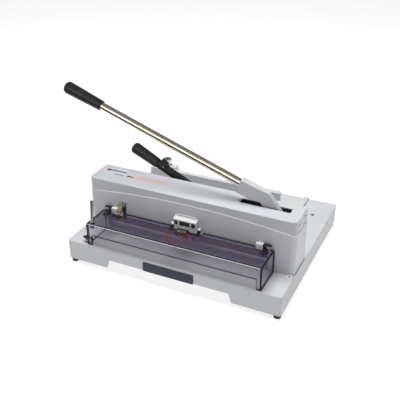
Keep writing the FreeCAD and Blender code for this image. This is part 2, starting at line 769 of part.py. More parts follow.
def interlock_slot():
    """Upright slot in the front wall for the interlock lever."""
    x0 = HOUSING_X0 + INTERLOCK_SLOT_FROM_LEFT
    z1 = HOUSING_TOP - INTERLOCK_SLOT_BELOW_TOP
    return box(x0, x0 + INTERLOCK_SLOT_W, HOUSING_Y0 - OVER, HOUSING_Y0 + WALL + OVER,
               z1 - INTERLOCK_SLOT_H, z1)


def interlock_axis():
    """Where the interlock lever's pin runs: y and z."""
    y = HOUSING_Y0 + WALL / 2
    z = HOUSING_TOP - INTERLOCK_SLOT_BELOW_TOP - INTERLOCK_HUB_R - INTERLOCK_PIN_OUT
    return y, z


def throat_cut(y0, y1):
    """The paper's way through a wall."""
    return box(THROAT_X0, THROAT_X1, y0, y1, DECK_Z - OVER, THROAT_Z1)


def housing_body():
    """Lower shell: front wall and both side walls, up to the ledge."""
    outer = rounded_block(HOUSING_X0, HOUSING_X1, HOUSING_Y0, HOUSING_Y1, DECK_Z, HOUSING_TOP,
                          HOUSING_CORNER_R, REAR_CORNER_R)
    inner = box(HOUSING_X0 + WALL, HOUSING_X1 - WALL, HOUSING_Y0 + WALL, HOUSING_Y1 + OVER,
                DECK_Z - OVER, HOUSING_TOP + OVER)
    inner = round_edges(inner, HOUSING_CORNER_R - WALL, Z_AXIS,
                        lambda middle: middle.y < ARM_MID_Y)
    y, z = interlock_axis()
    pin_hole = rod_x(INTERLOCK_X - INTERLOCK_SLOT_W, INTERLOCK_X + INTERLOCK_SLOT_W, y, z,
                     INTERLOCK_PIN_R)
    walls = outer.cut([inner, above_ledge()])
    return walls.cut([throat_cut(HOUSING_Y0 - OVER, HOUSING_Y0 + WALL + OVER),
                      interlock_slot(), pin_hole])


def top_cover_screw_places():
    """Screws through the top cover's side walls: y and z."""
    z = (LEDGE_Z + HOUSING_TOP) / 2
    return ((HOUSING_Y0 + HOUSING_CORNER_R + COVER_SCREW_INSET, z),
            (HOUSING_Y1 - COVER_SCREW_INSET, z))


def top_cover():
    """Upper shell, set in a little behind the ledge, with the lever's slot."""
    x0 = HOUSING_X0 + LEDGE_STEP
    x1 = HOUSING_X1 - LEDGE_STEP
    y0 = HOUSING_Y0 + LEDGE_STEP
    y1 = HOUSING_Y1 - LEDGE_STEP
    rear_r = REAR_CORNER_R - LEDGE_STEP
    outer = rounded_block(x0, x1, y0, y1, LEDGE_Z - OVER, HOUSING_TOP,
                          HOUSING_CORNER_R - LEDGE_STEP, rear_r)
    outer = outer.makeFillet(TOP_EDGE_R, top_edges(outer, HOUSING_TOP))
    inner = rounded_block(x0 + WALL, x1 - WALL, y0 + WALL, y1 - WALL,
                          LEDGE_Z - OVER * 2, HOUSING_TOP - TOP_T,
                          HOUSING_CORNER_R - LEDGE_STEP - WALL, rear_r)
    shell = outer.cut(inner).common(above_ledge())
    half_slot = ARM_SOCKET_W / 2 - SLOT_UNDERCUT
    slot = box(PIVOT_X - SLOT_LEFT, PIVOT_X + SLOT_RIGHT,
               ARM_MID_Y - half_slot, ARM_MID_Y + half_slot,
               HOUSING_TOP - TOP_T - OVER, HOUSING_TOP + OVER)
    cuts = [round_edges(slot, SLOT_CORNER_R, Z_AXIS)]
    for y, z in top_cover_screw_places():
        cuts.append(rod_x(HOUSING_X0, HOUSING_X1, y, z, COVER_SCREW_R))
    return shell.cut(cuts)


def top_screws():
    """Screws that hold the top cover to the side frames."""
    screws = []
    for y, z in top_cover_screw_places():
        x0 = HOUSING_X0 + LEDGE_STEP
        x1 = HOUSING_X1 - LEDGE_STEP
        head = rod_x(x0 - COVER_SCREW_HEAD_H, x0, y, z, COVER_SCREW_HEAD_R)
        shank = rod_x(x0, LEFT_FRAME_X1, y, z, COVER_SCREW_R)
        screws.append(join([head, shank]))
        head = rod_x(x1, x1 + COVER_SCREW_HEAD_H, y, z, COVER_SCREW_HEAD_R)
        shank = rod_x(RIGHT_FRAME_X0, x1, y, z, COVER_SCREW_R)
        screws.append(join([head, shank]))
    return screws


def rear_cover():
    """Rear wall, with the paper opening and the clamp shaft's hole."""
    plate = box(HOUSING_X0 + WALL, HOUSING_X1 - WALL, REAR_COVER_Y0, HOUSING_Y1,
                DECK_Z, HOUSING_TOP)
    plate = plate.cut(above_ledge())
    hole = rod_y(CLAMP_X, REAR_COVER_Y0 - OVER, HOUSING_Y1 + OVER, CLAMP_Z,
                 BUSH_R + BOLT_HOLE_GAP)
    cuts = [throat_cut(REAR_COVER_Y0 - OVER, HOUSING_Y1 + OVER), hole]
    for x, z in rear_screw_places():
        cuts.append(rod_y(x, REAR_COVER_Y0 - OVER, HOUSING_Y1 + OVER, z, COVER_SCREW_R))
    return plate.cut(cuts)


def rear_screw_places():
    """Screws through the rear wall into the side frames: x and z."""
    xs = ((LEFT_FRAME_X0 + LEFT_FRAME_X1) / 2, (RIGHT_FRAME_X0 + RIGHT_FRAME_X1) / 2)
    zs = (DECK_Z + COVER_SCREW_INSET, LEDGE_Z - COVER_SCREW_INSET)
    return [(x, z) for x in xs for z in zs]


def rear_screws():
    """Screws that hold the rear wall."""
    screws = []
    for x, z in rear_screw_places():
        shank = rod_y(x, HOUSING_Y1 - REAR_COVER_T - REAR_GAP, HOUSING_Y1, z, COVER_SCREW_R)
        head = rod_y(x, HOUSING_Y1, HOUSING_Y1 + COVER_SCREW_HEAD_H, z, COVER_SCREW_HEAD_R)
        screws.append(join([shank, head]))
    return screws


def cover_screws():
    """The housing's eight identical cover screws."""
    return group(top_screws() + rear_screws())


def throat_lip():
    """Red strip along the front wall above the paper opening."""
    strip = box(THROAT_X0, THROAT_X1, HOUSING_Y0 - THROAT_LIP_T, HOUSING_Y0,
                THROAT_Z1, THROAT_Z1 + THROAT_LIP_H)
    x0 = HOUSING_X0 + INTERLOCK_SLOT_FROM_LEFT
    gap = box(x0, x0 + INTERLOCK_SLOT_W, HOUSING_Y0 - WALL, HOUSING_Y0 + OVER,
              HOUSING_TOP - INTERLOCK_SLOT_BELOW_TOP - INTERLOCK_SLOT_H, HOUSING_TOP)
    return strip.cut(gap)


# ---- Frames and bridges ----
def frame_bolt_places():
    """Bolts from the side frames into the two bridges: y and z."""
    ys = ((BRIDGE_Y0 + BRIDGE_Y1) / 2, (REAR_BRIDGE_Y0 + REAR_BRIDGE_Y1) / 2)
    zs = (BRIDGE_Z0 + FRAME_BOLT_INSET, BRIDGE_Z1 - FRAME_BOLT_INSET)
    return [(y, z) for y in ys for z in zs]


def side_frame(x0, x1):
    """Upright end plate that carries the bridges and the covers."""
    plate = box(x0, x1, FRAME_Y0, REAR_BRIDGE_Y1, DECK_Z, FRAME_Z1)
    cuts = []
    for y, z in frame_bolt_places():
        cuts.append(rod_x(x0 - OVER, x1 + OVER, y, z, FRAME_BOLT_R))
    for y, z in top_cover_screw_places():
        cuts.append(rod_x(x0 - OVER, x1 + OVER, y, z, COVER_SCREW_R))
    return plate.cut(cuts)


def left_frame():
    """Side frame at the left end."""
    return side_frame(LEFT_FRAME_X0, LEFT_FRAME_X1)


def right_frame():
    """Side frame at the lever's end."""
    return side_frame(RIGHT_FRAME_X0, RIGHT_FRAME_X1)


def frame_bolts():
    """Set bolts through the frames into the ends of the bridges."""
    bolts = []
    for y, z in frame_bolt_places():
        bolts.append(rod_x(LEFT_FRAME_X0, LEFT_FRAME_X1 + FRAME_BOLT_DEPTH, y, z, FRAME_BOLT_R))
        bolts.append(rod_x(RIGHT_FRAME_X0 - FRAME_BOLT_DEPTH, RIGHT_FRAME_X1, y, z, FRAME_BOLT_R))
    return group(bolts)


def bridge_bolt_cuts(y_low, y_high):
    """Holes in a bridge's ends for the frame bolts between two depths."""
    cuts = []
    for y, z in frame_bolt_places():
        if y_low < y < y_high:
            cuts.append(rod_x(LEFT_FRAME_X1 - OVER, LEFT_FRAME_X1 + FRAME_BOLT_DEPTH,
                              y, z, FRAME_BOLT_R))
            cuts.append(rod_x(RIGHT_FRAME_X0 - FRAME_BOLT_DEPTH, RIGHT_FRAME_X0 + OVER,
                              y, z, FRAME_BOLT_R))
    return cuts


def guide_bolt_places():
    """Centres of the carrier's two guide bolts at rest: x and z."""
    z = PIVOT_Z - GUIDE_BOLT_BELOW_PIVOT
    return ((CARRIER_X0 + GUIDE_BOLT_FROM_ENDS[0], z), (CARRIER_X1 - GUIDE_BOLT_FROM_ENDS[1], z))


def path_slot(x, z, radius, y0, y1):
    """Slot that a point of the carrier needs over the blade's whole stroke."""
    return slot_y(x - BLADE_DOWN * PATH_X, z - BLADE_DOWN * PATH_Z,
                  x + BLADE_UP * PATH_X, z + BLADE_UP * PATH_Z, radius, y0, y1)


def front_bridge():
    """Plate behind the carrier, with the slanted slots that guide the cut."""
    plate = box(LEFT_FRAME_X1, RIGHT_FRAME_X0, BRIDGE_Y0, BRIDGE_Y1, BRIDGE_Z0, BRIDGE_Z1)
    y0 = BRIDGE_Y0 - OVER
    y1 = BRIDGE_Y1 + OVER
    cuts = bridge_bolt_cuts(BRIDGE_Y0, BRIDGE_Y1)
    for x, z in guide_bolt_places():
        cuts.append(path_slot(x, z, GUIDE_BOLT_R + GUIDE_BOLT_PLAY, y0, y1))
    cuts.append(pin_window(y0, y1))
    cuts.append(rod_y(PIVOT_X, y0, y1, PIVOT_Z, LEVER_SHAFT_R))
    return plate.cut(cuts)


def pin_window(y0, y1):
    """Open notch in the front bridge for the lever's crank pin."""
    clear = PIN_R + SLIDE_GAP * 2
    far_left = PIVOT_X - CRANK_R
    far_right = PIVOT_X - CRANK_R * math.cos(math.radians(CRANK_LOWEST - HALF_TURN))
    highest = PIVOT_Z + CRANK_R * math.sin(math.radians(HALF_SWING - CUT_TILT))
    window = box(far_left - clear, far_right + clear, y0, y1, BRIDGE_Z0 - OVER, highest + clear)
    return round_edges(window, clear / 2, Y_AXIS, lambda middle: middle.z > BRIDGE_Z0)


def rear_bridge():
    """Plate across the rear that carries both shafts."""
    plate = box(LEFT_FRAME_X1, RIGHT_FRAME_X0, REAR_BRIDGE_Y0, REAR_BRIDGE_Y1,
                BRIDGE_Z0, BRIDGE_Z1)
    y0 = REAR_BRIDGE_Y0 - OVER
    y1 = REAR_BRIDGE_Y1 + OVER
    cuts = bridge_bolt_cuts(REAR_BRIDGE_Y0, REAR_BRIDGE_Y1)
    cuts.append(rod_y(PIVOT_X, y0, y1, PIVOT_Z, LEVER_SHAFT_R))
    cuts.append(rod_y(CLAMP_X, y0, y1, CLAMP_Z, BUSH_R))
    return plate.cut(cuts)


def lever_shaft():
    """Fixed pin that the main lever swings on, held in both bridges."""
    shaft = rod_y(PIVOT_X, BRIDGE_Y0, REAR_BRIDGE_Y1, PIVOT_Z, LEVER_SHAFT_R)
    hole = rod_y(PIVOT_X, REAR_BRIDGE_Y1 - SHAFT_SCREW_DEPTH, REAR_BRIDGE_Y1 + OVER,
                 PIVOT_Z, SHAFT_SCREW_R)
    return shaft.cut(hole)


def lever_shaft_screw():
    """Screw and wide head that keep the lever shaft in the rear bridge."""
    shank = rod_y(PIVOT_X, REAR_BRIDGE_Y1 - SHAFT_SCREW_DEPTH, REAR_BRIDGE_Y1, PIVOT_Z,
                  SHAFT_SCREW_R)
    head = rod_y(PIVOT_X, REAR_BRIDGE_Y1, REAR_BRIDGE_Y1 + SHAFT_SCREW_HEAD_T, PIVOT_Z,
                 SHAFT_SCREW_HEAD_R)
    return join([shank, head])


# ---- Blade and carrier ----
def blade_screw_xs():
    """Places of the blade screws along the blade."""
    return spaced(BLADE_X0 + BLADE_SCREW_END_GAP, BLADE_X1 - BLADE_SCREW_END_GAP,
                  BLADE_SCREW_COUNT)


def blade_screw_z():
    """Height of the blade screws, in the middle of the blade's lap."""
    return CARRIER_Z0 + BLADE_LAP / 2


def roller_track(grow, y0, y1):
    """Slot across the blade's path for the roller's side travel."""
    side = CRANK_R * (1 - math.cos(math.radians(HALF_SWING))) + ROLLER_PLAY
    dx = PATH_Z * side
    dz = -PATH_X * side
    return slot_y(CRANK_X - dx, CRANK_Z - dz, CRANK_X + dx, CRANK_Z + dz,
                  ROLLER_R + grow, y0, y1)


def blade_carrier():
    """Heavy bar that holds the blade and takes the roller of the lever."""
    bar = box(CARRIER_X0, CARRIER_X1, CARRIER_Y0, CARRIER_Y1, CARRIER_Z0, CARRIER_Z1)
    rabbet = box(CARRIER_X0 - OVER, CARRIER_X1 + OVER, BLADE_Y0, CARRIER_Y1 + OVER,
                 CARRIER_Z0 - OVER, BLADE_TOP_Z)
    y0 = CARRIER_Y0 - OVER
    y1 = CARRIER_Y1 + OVER
    cuts = [rabbet, roller_track(ROLLER_PLAY, y0, y1)]
    for x in blade_screw_xs():
        cuts.append(rod_y(x, y0, y1, blade_screw_z(), BLADE_SCREW_R))
        cuts.append(rod_y(x, y0, CARRIER_Y0 + BLADE_SCREW_HEAD_H, blade_screw_z(),
                          BLADE_SCREW_HEAD_R))
    for x, z in guide_bolt_places():
        cuts.append(rod_y(x, y0, y1, z, GUIDE_BOLT_R))
    return bar.cut(cuts)


def blade():
    """Steel knife, ground on its front so that the rear face shears."""
    outline = [(BLADE_Y0, BLADE_TOP_Z), (CARRIER_Y1, BLADE_TOP_Z),
               (CARRIER_Y1, BLADE_EDGE_Z), (BLADE_Y0, BLADE_EDGE_Z + BLADE_BEVEL_H)]
    knife = prism_x(outline, BLADE_X0, BLADE_X1)
    holes = [rod_y(x, BLADE_Y0 - OVER, CARRIER_Y1 + OVER, blade_screw_z(), BLADE_SCREW_R)
             for x in blade_screw_xs()]
    return knife.cut(holes)


def blade_screws():
    """Screws that hold the knife in the carrier's rabbet."""
    screws = []
    for x in blade_screw_xs():
        head = rod_y(x, CARRIER_Y0, CARRIER_Y0 + BLADE_SCREW_HEAD_H, blade_screw_z(),
                     BLADE_SCREW_HEAD_R)
        shank = rod_y(x, CARRIER_Y0 + BLADE_SCREW_HEAD_H, CARRIER_Y1, blade_screw_z(),
                      BLADE_SCREW_R)
        screws.append(join([head, shank]))
    return group(screws)


def guide_bolts():
    """Bolts of the carrier that run in the bridge's slanted slots."""
    bolts = []
    for x, z in guide_bolt_places():
        washer_y = BRIDGE_Y1 + GUIDE_WASHER_GAP
        shank = rod_y(x, CARRIER_Y0, washer_y, z, GUIDE_BOLT_R)
        washer = rod_y(x, washer_y, washer_y + GUIDE_WASHER_T, z, GUIDE_WASHER_R)
        bolts.append(join([shank, washer]))
    return group(bolts)


# ---- Clamp ----
def post_places():
    """The two posts that guide the clamp beam."""
    return (BEAM_X0 + POST_INSET, BEAM_X1 - POST_INSET)


def clamp_beam():
    """Bar that presses the stack down behind the blade."""
    beam = box(BEAM_X0, BEAM_X1, BEAM_Y0, BEAM_Y1, BEAM_Z0, BEAM_Z1)
    cuts = []
    for x in post_places():
        cuts.append(rod_z(x, POST_Y, BEAM_Z0 - OVER, BEAM_Z1 + OVER, POST_R + POST_FIT))
        cuts.append(rod_z(x, POST_Y, BEAM_Z0 - OVER, BEAM_Z0 + SPRING_SEAT_DEPTH, SPRING_SEAT_R))
    return beam.cut(cuts)


def clamp_posts():
    """Guide posts that stand on the table, with retaining heads."""
    posts = []
    for x in post_places():
        head_z = BEAM_Z1 + POST_OVER_BEAM
        post = rod_z(x, POST_Y, DECK_Z, head_z, POST_R)
        head = rod_z(x, POST_Y, head_z, head_z + POST_HEAD_T, POST_HEAD_R)
        posts.append(join([post, head]))
    return group(posts)


def clamp_springs():
    """Return springs round the posts, as closed coils with a waved outside."""
    springs = []
    z0 = DECK_Z
    z1 = BEAM_Z0 + SPRING_SEAT_DEPTH - SPRING_GAP
    pitch = (z1 - z0) / SPRING_TURNS
    groove = pitch / 4
    for x in post_places():
        profile = [(0, SPRING_R0), (0, SPRING_R1 - groove)]
        for turn in range(SPRING_TURNS):
            start = turn * pitch
            profile.append((start + pitch / 2, SPRING_R1))
            profile.append((start + pitch, SPRING_R1 - groove))
        profile.append((z1 - z0, SPRING_R0))
        springs.append(revolve_about(Vector(x, POST_Y, z0), Z_AXIS, X_AXIS, profile))
    return group(springs)


def clamp_yoke():
    """Upright plate on the clamp beam with the crank pin's level slot."""
    x0 = CLAMP_X - CLAMP_CRANK_R - YOKE_SIDE
    x1 = CLAMP_PIN_X + YOKE_SIDE
    z1 = CLAMP_PIN_Z + YOKE_OVER_PIN
    plate = box(x0, x1, YOKE_Y0, YOKE_Y1, BEAM_Z1, z1)
    left = CLAMP_X - CLAMP_CRANK_R
    right = CLAMP_PIN_X
    slot = slot_y(left - CLAMP_PIN_PLAY, CLAMP_PIN_Z, right + CLAMP_PIN_PLAY, CLAMP_PIN_Z,
                  CLAMP_PIN_R + CLAMP_PIN_PLAY, YOKE_Y0 - OVER, YOKE_Y1 + OVER)
    return plate.cut(slot)


def clamp_shaft():
    """Shaft of the clamp lever, with its crank and pin inside the housing."""
    shaft = rod_y(CLAMP_X, CLAMP_CRANK_Y1, CLAMP_HUB_Y1 + CLAMP_NUT_T, CLAMP_Z, CLAMP_SHAFT_R)
    crank = link_y(CLAMP_X, CLAMP_Z, CLAMP_HUB_R, CLAMP_PIN_X, CLAMP_PIN_Z, CLAMP_PIN_BOSS_R,
                   CLAMP_CRANK_Y0, CLAMP_CRANK_Y1)
    pin = rod_y(CLAMP_PIN_X, YOKE_Y0, CLAMP_CRANK_Y0, CLAMP_PIN_Z, CLAMP_PIN_R)
    return join([shaft, crank, pin])


def clamp_bushing():
    """Bronze bush in the rear bridge and wall for the clamp shaft."""
    sleeve = rod_y(CLAMP_X, REAR_BRIDGE_Y0, HOUSING_Y1, CLAMP_Z, BUSH_R)
    flange = rod_y(CLAMP_X, HOUSING_Y1, HOUSING_Y1 + BUSH_FLANGE_T, CLAMP_Z, BUSH_FLANGE_R)
    bore = rod_y(CLAMP_X, REAR_BRIDGE_Y0 - OVER, HOUSING_Y1 + BUSH_FLANGE_T + OVER, CLAMP_Z,
                 CLAMP_SHAFT_R + CLAMP_SHAFT_FIT)
    return join([sleeve, flange]).cut(bore)


def clamp_lever():
    """Black steel lever: hub, ribbed bar and the tang inside the grip."""
    y0 = CLAMP_LEVER_Y - CLAMP_BAR_T / 2
    y1 = CLAMP_LEVER_Y + CLAMP_BAR_T / 2
    half = CLAMP_BAR_W / 2
    bar = prism_y([clamp_point(0, half), clamp_point(CLAMP_GRIP_START, half),
                   clamp_point(CLAMP_GRIP_START, -half), clamp_point(0, -half)], y0, y1)
    start = CLAMP_HUB_OUT_R + CLAMP_BAR_LIP
    inner = half - CLAMP_BAR_LIP
    end = CLAMP_GRIP_START - CLAMP_BAR_LIP
    corners = [clamp_point(start, inner), clamp_point(end, inner),
               clamp_point(end, -inner), clamp_point(start, -inner)]
    grooves = [prism_y(corners, y0 - OVER, y0 + CLAMP_BAR_GROOVE),
               prism_y(corners, y1 - CLAMP_BAR_GROOVE, y1 + OVER)]
    along, above = lever_axes(CLAMP_REST)
    x, z = clamp_point(CLAMP_GRIP_START - CLAMP_BAR_LIP, 0)
    tang = rod(along, Vector(x, CLAMP_LEVER_Y, z), CLAMP_TANG_R,
               CLAMP_TANG_END - CLAMP_GRIP_START + CLAMP_BAR_LIP)
    hub = rod_y(CLAMP_X, CLAMP_HUB_Y0, CLAMP_HUB_Y1, CLAMP_Z, CLAMP_HUB_OUT_R)
    bore = rod_y(CLAMP_X, CLAMP_HUB_Y0 - OVER, CLAMP_HUB_Y1 + OVER, CLAMP_Z, CLAMP_SHAFT_R)
    return join([bar.cut(grooves), tang, hub]).cut([bore, trigger_seat(0)])


def trigger_frame():
    """Middle of the trigger, above the bar just before the grip."""
    along_mid = CLAMP_GRIP_START - TRIGGER_FROM_GRIP - TRIGGER_LENGTH / 2
    return along_mid, CLAMP_BAR_W / 2


def trigger_seat(clearance):
    """Cross hole for the trigger's hinge pin."""
    along_mid, above = trigger_frame()
    x, z = clamp_point(along_mid - TRIGGER_LENGTH / 2 + TRIGGER_R, above - TRIGGER_R / 2)
    return rod_y(x, CLAMP_LEVER_Y - CLAMP_BAR_T, CLAMP_LEVER_Y + CLAMP_BAR_T, z,
                 TRIGGER_PIN_R + clearance)


def clamp_trigger():
    """Small sprung release trigger on the clamp lever, astride the bar."""
    along_mid, above = trigger_frame()
    half = TRIGGER_LENGTH / 2
    reach = CLAMP_BAR_T / 2 + TRIGGER_SIDE_T
    low = above - TRIGGER_R - TRIGGER_PIN_R * 2
    outline = [clamp_point(along_mid - half, low), clamp_point(along_mid + TRIGGER_HEEL, low),
               clamp_point(along_mid + half, above + TRIGGER_LIFT),
               clamp_point(along_mid + half, above + TRIGGER_LIFT + TRIGGER_R),
               clamp_point(along_mid - half, above + TRIGGER_R)]
    body = prism_y(outline, CLAMP_LEVER_Y - reach, CLAMP_LEVER_Y + reach)
    inner = [clamp_point(along_mid - half - OVER, low - OVER),
             clamp_point(along_mid + half + OVER, low - OVER),
             clamp_point(along_mid + half + OVER, above + TRIGGER_LIFT),
             clamp_point(along_mid - half - OVER, above + TRIGGER_GAP)]
    inner_y = CLAMP_BAR_T / 2 + TRIGGER_GAP
    hollow = prism_y(inner, CLAMP_LEVER_Y - inner_y, CLAMP_LEVER_Y + inner_y)
    return body.cut([hollow, trigger_seat(HINGE_FIT)])


def trigger_pin():
    """Cross pin of the trigger."""
    along_mid, above = trigger_frame()
    x, z = clamp_point(along_mid - TRIGGER_LENGTH / 2 + TRIGGER_R, above - TRIGGER_R / 2)
    reach = CLAMP_BAR_T / 2 + TRIGGER_SIDE_T
    return rod_y(x, CLAMP_LEVER_Y - reach, CLAMP_LEVER_Y + reach, z, TRIGGER_PIN_R)


def grip_profile(start, end, r0, r1, bore_r, bore_end):
    """Half section of a tapered grip with a blind bore."""
    return [(start, bore_r), (start, r0 - GRIP_COLLAR_DROP), (start + GRIP_COLLAR / 2, r0),
            (end - GRIP_NOSE, r1), (end - GRIP_NOSE_SHOULDER, r1 - GRIP_NOSE_DROP),
            (end, r1 - GRIP_NOSE_END_DROP), (end, 0), (bore_end, 0), (bore_end, bore_r)]


def clamp_grip():
    """Black hand grip of the clamp lever."""
    along, above = lever_axes(CLAMP_REST)
    origin = Vector(CLAMP_X, CLAMP_LEVER_Y, CLAMP_Z)
    profile = grip_profile(CLAMP_GRIP_START, CLAMP_GRIP_END, CLAMP_GRIP_R0, CLAMP_GRIP_R1,
                           CLAMP_TANG_R, CLAMP_TANG_END)
    return revolve_about(origin, along, above, profile)


def clamp_nut():
    """Hexagon nut on the clamp shaft's end."""
    corners = []
    for side in range(NUT_SIDES):
        turn = math.radians(FULL_TURN * side / NUT_SIDES)
        corners.append((CLAMP_X + CLAMP_NUT_CORNER_R * math.cos(turn),
                        CLAMP_Z + CLAMP_NUT_CORNER_R * math.sin(turn)))
    nut = prism_y(corners, CLAMP_HUB_Y1, CLAMP_HUB_Y1 + CLAMP_NUT_T)
    return nut.cut(rod_y(CLAMP_X, CLAMP_HUB_Y1 - OVER, CLAMP_HUB_Y1 + CLAMP_NUT_T + OVER,
                         CLAMP_Z, CLAMP_SHAFT_R))


# ---- Main lever ----
def arm_outline():
    """Side outline of the dog-legged arm, from the socket to the hub."""
    neck = math.radians(ARM_NECK_TILT)
    side = (-ARM_HUB_R * math.sin(neck), ARM_HUB_R * math.cos(neck))
    points = [(ARM_END, TUBE_ABOVE_PIVOT + TUBE_R + ARM_TOP_WALL),
              (ARM_BEND_ALONG, ARM_BEND_ABOVE),
              side, (-side[0], -side[1]),
              ARM_HEEL, ARM_ARCH, ARM_NOTCH,
              (ARM_END, ARM_SOCKET_BASE)]
    return [lever_point(along, above) for along, above in points]


def arm_taper():
    """Plan outline of the arm: wide at the socket, plain at the neck."""
    along, above = lever_axes(LEVER_REST)
    origin = Vector(PIVOT_X, ARM_MID_Y, PIVOT_Z)
    wide = ARM_SOCKET_W / 2
    plain = ARM_T / 2
    deep = ARM_CUT_REACH
    plan = [(ARM_END, wide), (ARM_BEND_ALONG, plain), (-deep, plain),
            (-deep, -plain), (ARM_BEND_ALONG, -plain), (ARM_END, -wide)]
    corners = [origin + along * a + Y_AXIS * b - above * deep for a, b in plan]
    face = Part.Face(Part.makePolygon(corners + corners[:1]))
    return face.extrude(above * deep * 2)


def lever_arm():
    """Painted dog-legged arm with hub, crank lobe and tube socket."""
    y0 = ARM_MID_Y - ARM_SOCKET_W / 2
    y1 = ARM_MID_Y + ARM_SOCKET_W / 2
    plate = prism_y(arm_outline(), y0, y1).common(arm_taper())
    hub = rod_y(PIVOT_X, ARM_Y0, ARM_Y1, PIVOT_Z, ARM_HUB_R)
    lobe = link_y(PIVOT_X, PIVOT_Z, ARM_HUB_R, CRANK_X, CRANK_Z, ARM_PIN_BOSS_R, ARM_Y0, ARM_Y1)
    along, above = lever_axes(LEVER_REST)
    x, z = lever_point(TUBE_START, TUBE_ABOVE_PIVOT)
    socket = rod(along, Vector(x, ARM_MID_Y, z), TUBE_R, ARM_END - TUBE_START + OVER)
    bush = rod_y(PIVOT_X, ARM_Y0 - OVER, ARM_Y1 + OVER, PIVOT_Z, LEVER_BUSH_R)
    pin = rod_y(CRANK_X, ARM_Y0 - OVER, ARM_Y1 + OVER, CRANK_Z, PIN_R)
    return join([plate, hub, lobe]).cut([socket, bush, pin])


def lever_bushing():
    """Bronze bush pressed into the arm's hub."""
    y0 = ARM_Y0 - LEVER_BUSH_PROUD
    y1 = ARM_Y1 + LEVER_BUSH_PROUD
    sleeve = rod_y(PIVOT_X, y0, y1, PIVOT_Z, LEVER_BUSH_R)
    return sleeve.cut(rod_y(PIVOT_X, y0 - OVER, y1 + OVER, PIVOT_Z,
                            LEVER_SHAFT_R + LEVER_BUSH_FIT))


def crank_pin():
    """Pin of the crank lobe that reaches forward into the carrier."""
    return rod_y(CRANK_X, CARRIER_Y0, ARM_Y1, CRANK_Z, PIN_R)


def crank_roller():
    """Roller on the crank pin, inside the carrier's track."""
    ring = rod_y(CRANK_X, CARRIER_Y0, CARRIER_Y1, CRANK_Z, ROLLER_R)
    return ring.cut(rod_y(CRANK_X, CARRIER_Y0 - OVER, CARRIER_Y1 + OVER, CRANK_Z,
                          PIN_R + ROLLER_FIT))


def lever_tube():
    """Plated tube of the main lever."""
    along, above = lever_axes(LEVER_REST)
    x, z = lever_point(0, TUBE_ABOVE_PIVOT)
    origin = Vector(x, ARM_MID_Y, z)
    inner = TUBE_R - TUBE_WALL
    profile = [(TUBE_START, inner), (TUBE_START, TUBE_R), (TUBE_END, TUBE_R), (TUBE_END, inner)]
    return revolve_about(origin, along, above, profile)


def lever_grip():
    """Black hand grip of the main lever."""
    along, above = lever_axes(LEVER_REST)
    x, z = lever_point(0, TUBE_ABOVE_PIVOT)
    origin = Vector(x, ARM_MID_Y, z)
    profile = grip_profile(GRIP_START, GRIP_END, GRIP_R0, GRIP_R1, TUBE_R, TUBE_END)
    return revolve_about(origin, along, above, profile)


# ---- Safety cover ----
def left_block_x():
    """Left end of the left hinge block."""
    return GUARD_X0 + LEFT_BLOCK_FROM_GUARD


def right_block_x():
    """Left end of the right hinge block."""
    return GUARD_X1 - RIGHT_BLOCK_FROM_GUARD - BLOCK_W


def guard_notches():
    """Cut-outs in the cover's rear edge round everything fixed to the wall."""
    gap = NOTCH_SIDE_GAP
    half_centre = CENTRE_W / 2 + CENTRE_BUSH_W + CENTRE_KNUCKLE_W
    spans = [(left_block_x() - EAR_GAP - EAR_T - gap, left_block_x() + BLOCK_W + gap),
             (INTERLOCK_X - INTERLOCK_SLOT_W / 2 - gap, INTERLOCK_X + INTERLOCK_SLOT_W / 2 + gap),
             (CENTRE_X - half_centre, CENTRE_X + half_centre),
             (right_block_x() - gap, right_block_x() + BLOCK_W + EAR_GAP + EAR_T + gap)]
    deep = [GUARD_NOTCH_D, INTERLOCK_TOE_OUT + INTERLOCK_TOE_R + GUARD_NOTCH_D,
            GUARD_NOTCH_D, GUARD_NOTCH_D]
    return [box(x0, x1, GUARD_REAR_Y - depth, GUARD_REAR_Y + OVER,
                GUARD_TOP_Z - GUARD_T - OVER, GUARD_TOP_Z + OVER)
            for (x0, x1), depth in zip(spans, deep)]


def safety_cover():
    """Smoked clear cover: top, deep sides and a short front over a hand gap."""
    z0 = DECK_Z + GUARD_FLOOR_GAP
    outer = box(GUARD_X0, GUARD_X1, GUARD_Y0, GUARD_REAR_Y, z0, GUARD_TOP_Z)
    outer = round_edges(outer, GUARD_CORNER_R, X_AXIS,
                        lambda middle: middle.y > HINGE_Y and middle.z > HINGE_Z - GUARD_H / 2)
    outer = round_edges(outer, GUARD_EDGE_R, X_AXIS,
                        lambda middle: middle.y < HINGE_Y and middle.z > HINGE_Z - GUARD_H / 2)
    inner = box(GUARD_X0 + GUARD_T, GUARD_X1 - GUARD_T, GUARD_Y0 + GUARD_T, GUARD_REAR_Y + OVER,
                z0 - OVER, GUARD_TOP_Z - GUARD_T)
    hand_gap = box(GUARD_X0 + GUARD_COLUMN_W, GUARD_X1 - GUARD_COLUMN_W,
                   GUARD_Y0 - OVER, GUARD_Y0 + GUARD_T + OVER, z0 - OVER,
                   DECK_Z + GUARD_FRONT_GAP)
    knob_hole = rod_x(GUARD_X0 - OVER, GUARD_X0 + GUARD_T + OVER, KNOB_Y,
                      DECK_Z + KNOB_ABOVE_DECK, KNOB_STUD_R)
    rod_hole = rod_z(rod_foot().x, rod_foot().y, GUARD_TOP_Z - GUARD_T - OVER,
                     GUARD_TOP_Z + OVER, KNOB_STUD_R)
    return outer.cut([inner, hand_gap, knob_hole, rod_hole] + guard_notches())


def rod_foot():
    """Where the lift rod stands on the cover."""
    return Vector(GUARD_X0 + ROD_IN_X, GUARD_Y0 + ROD_IN_Y, GUARD_TOP_Z)


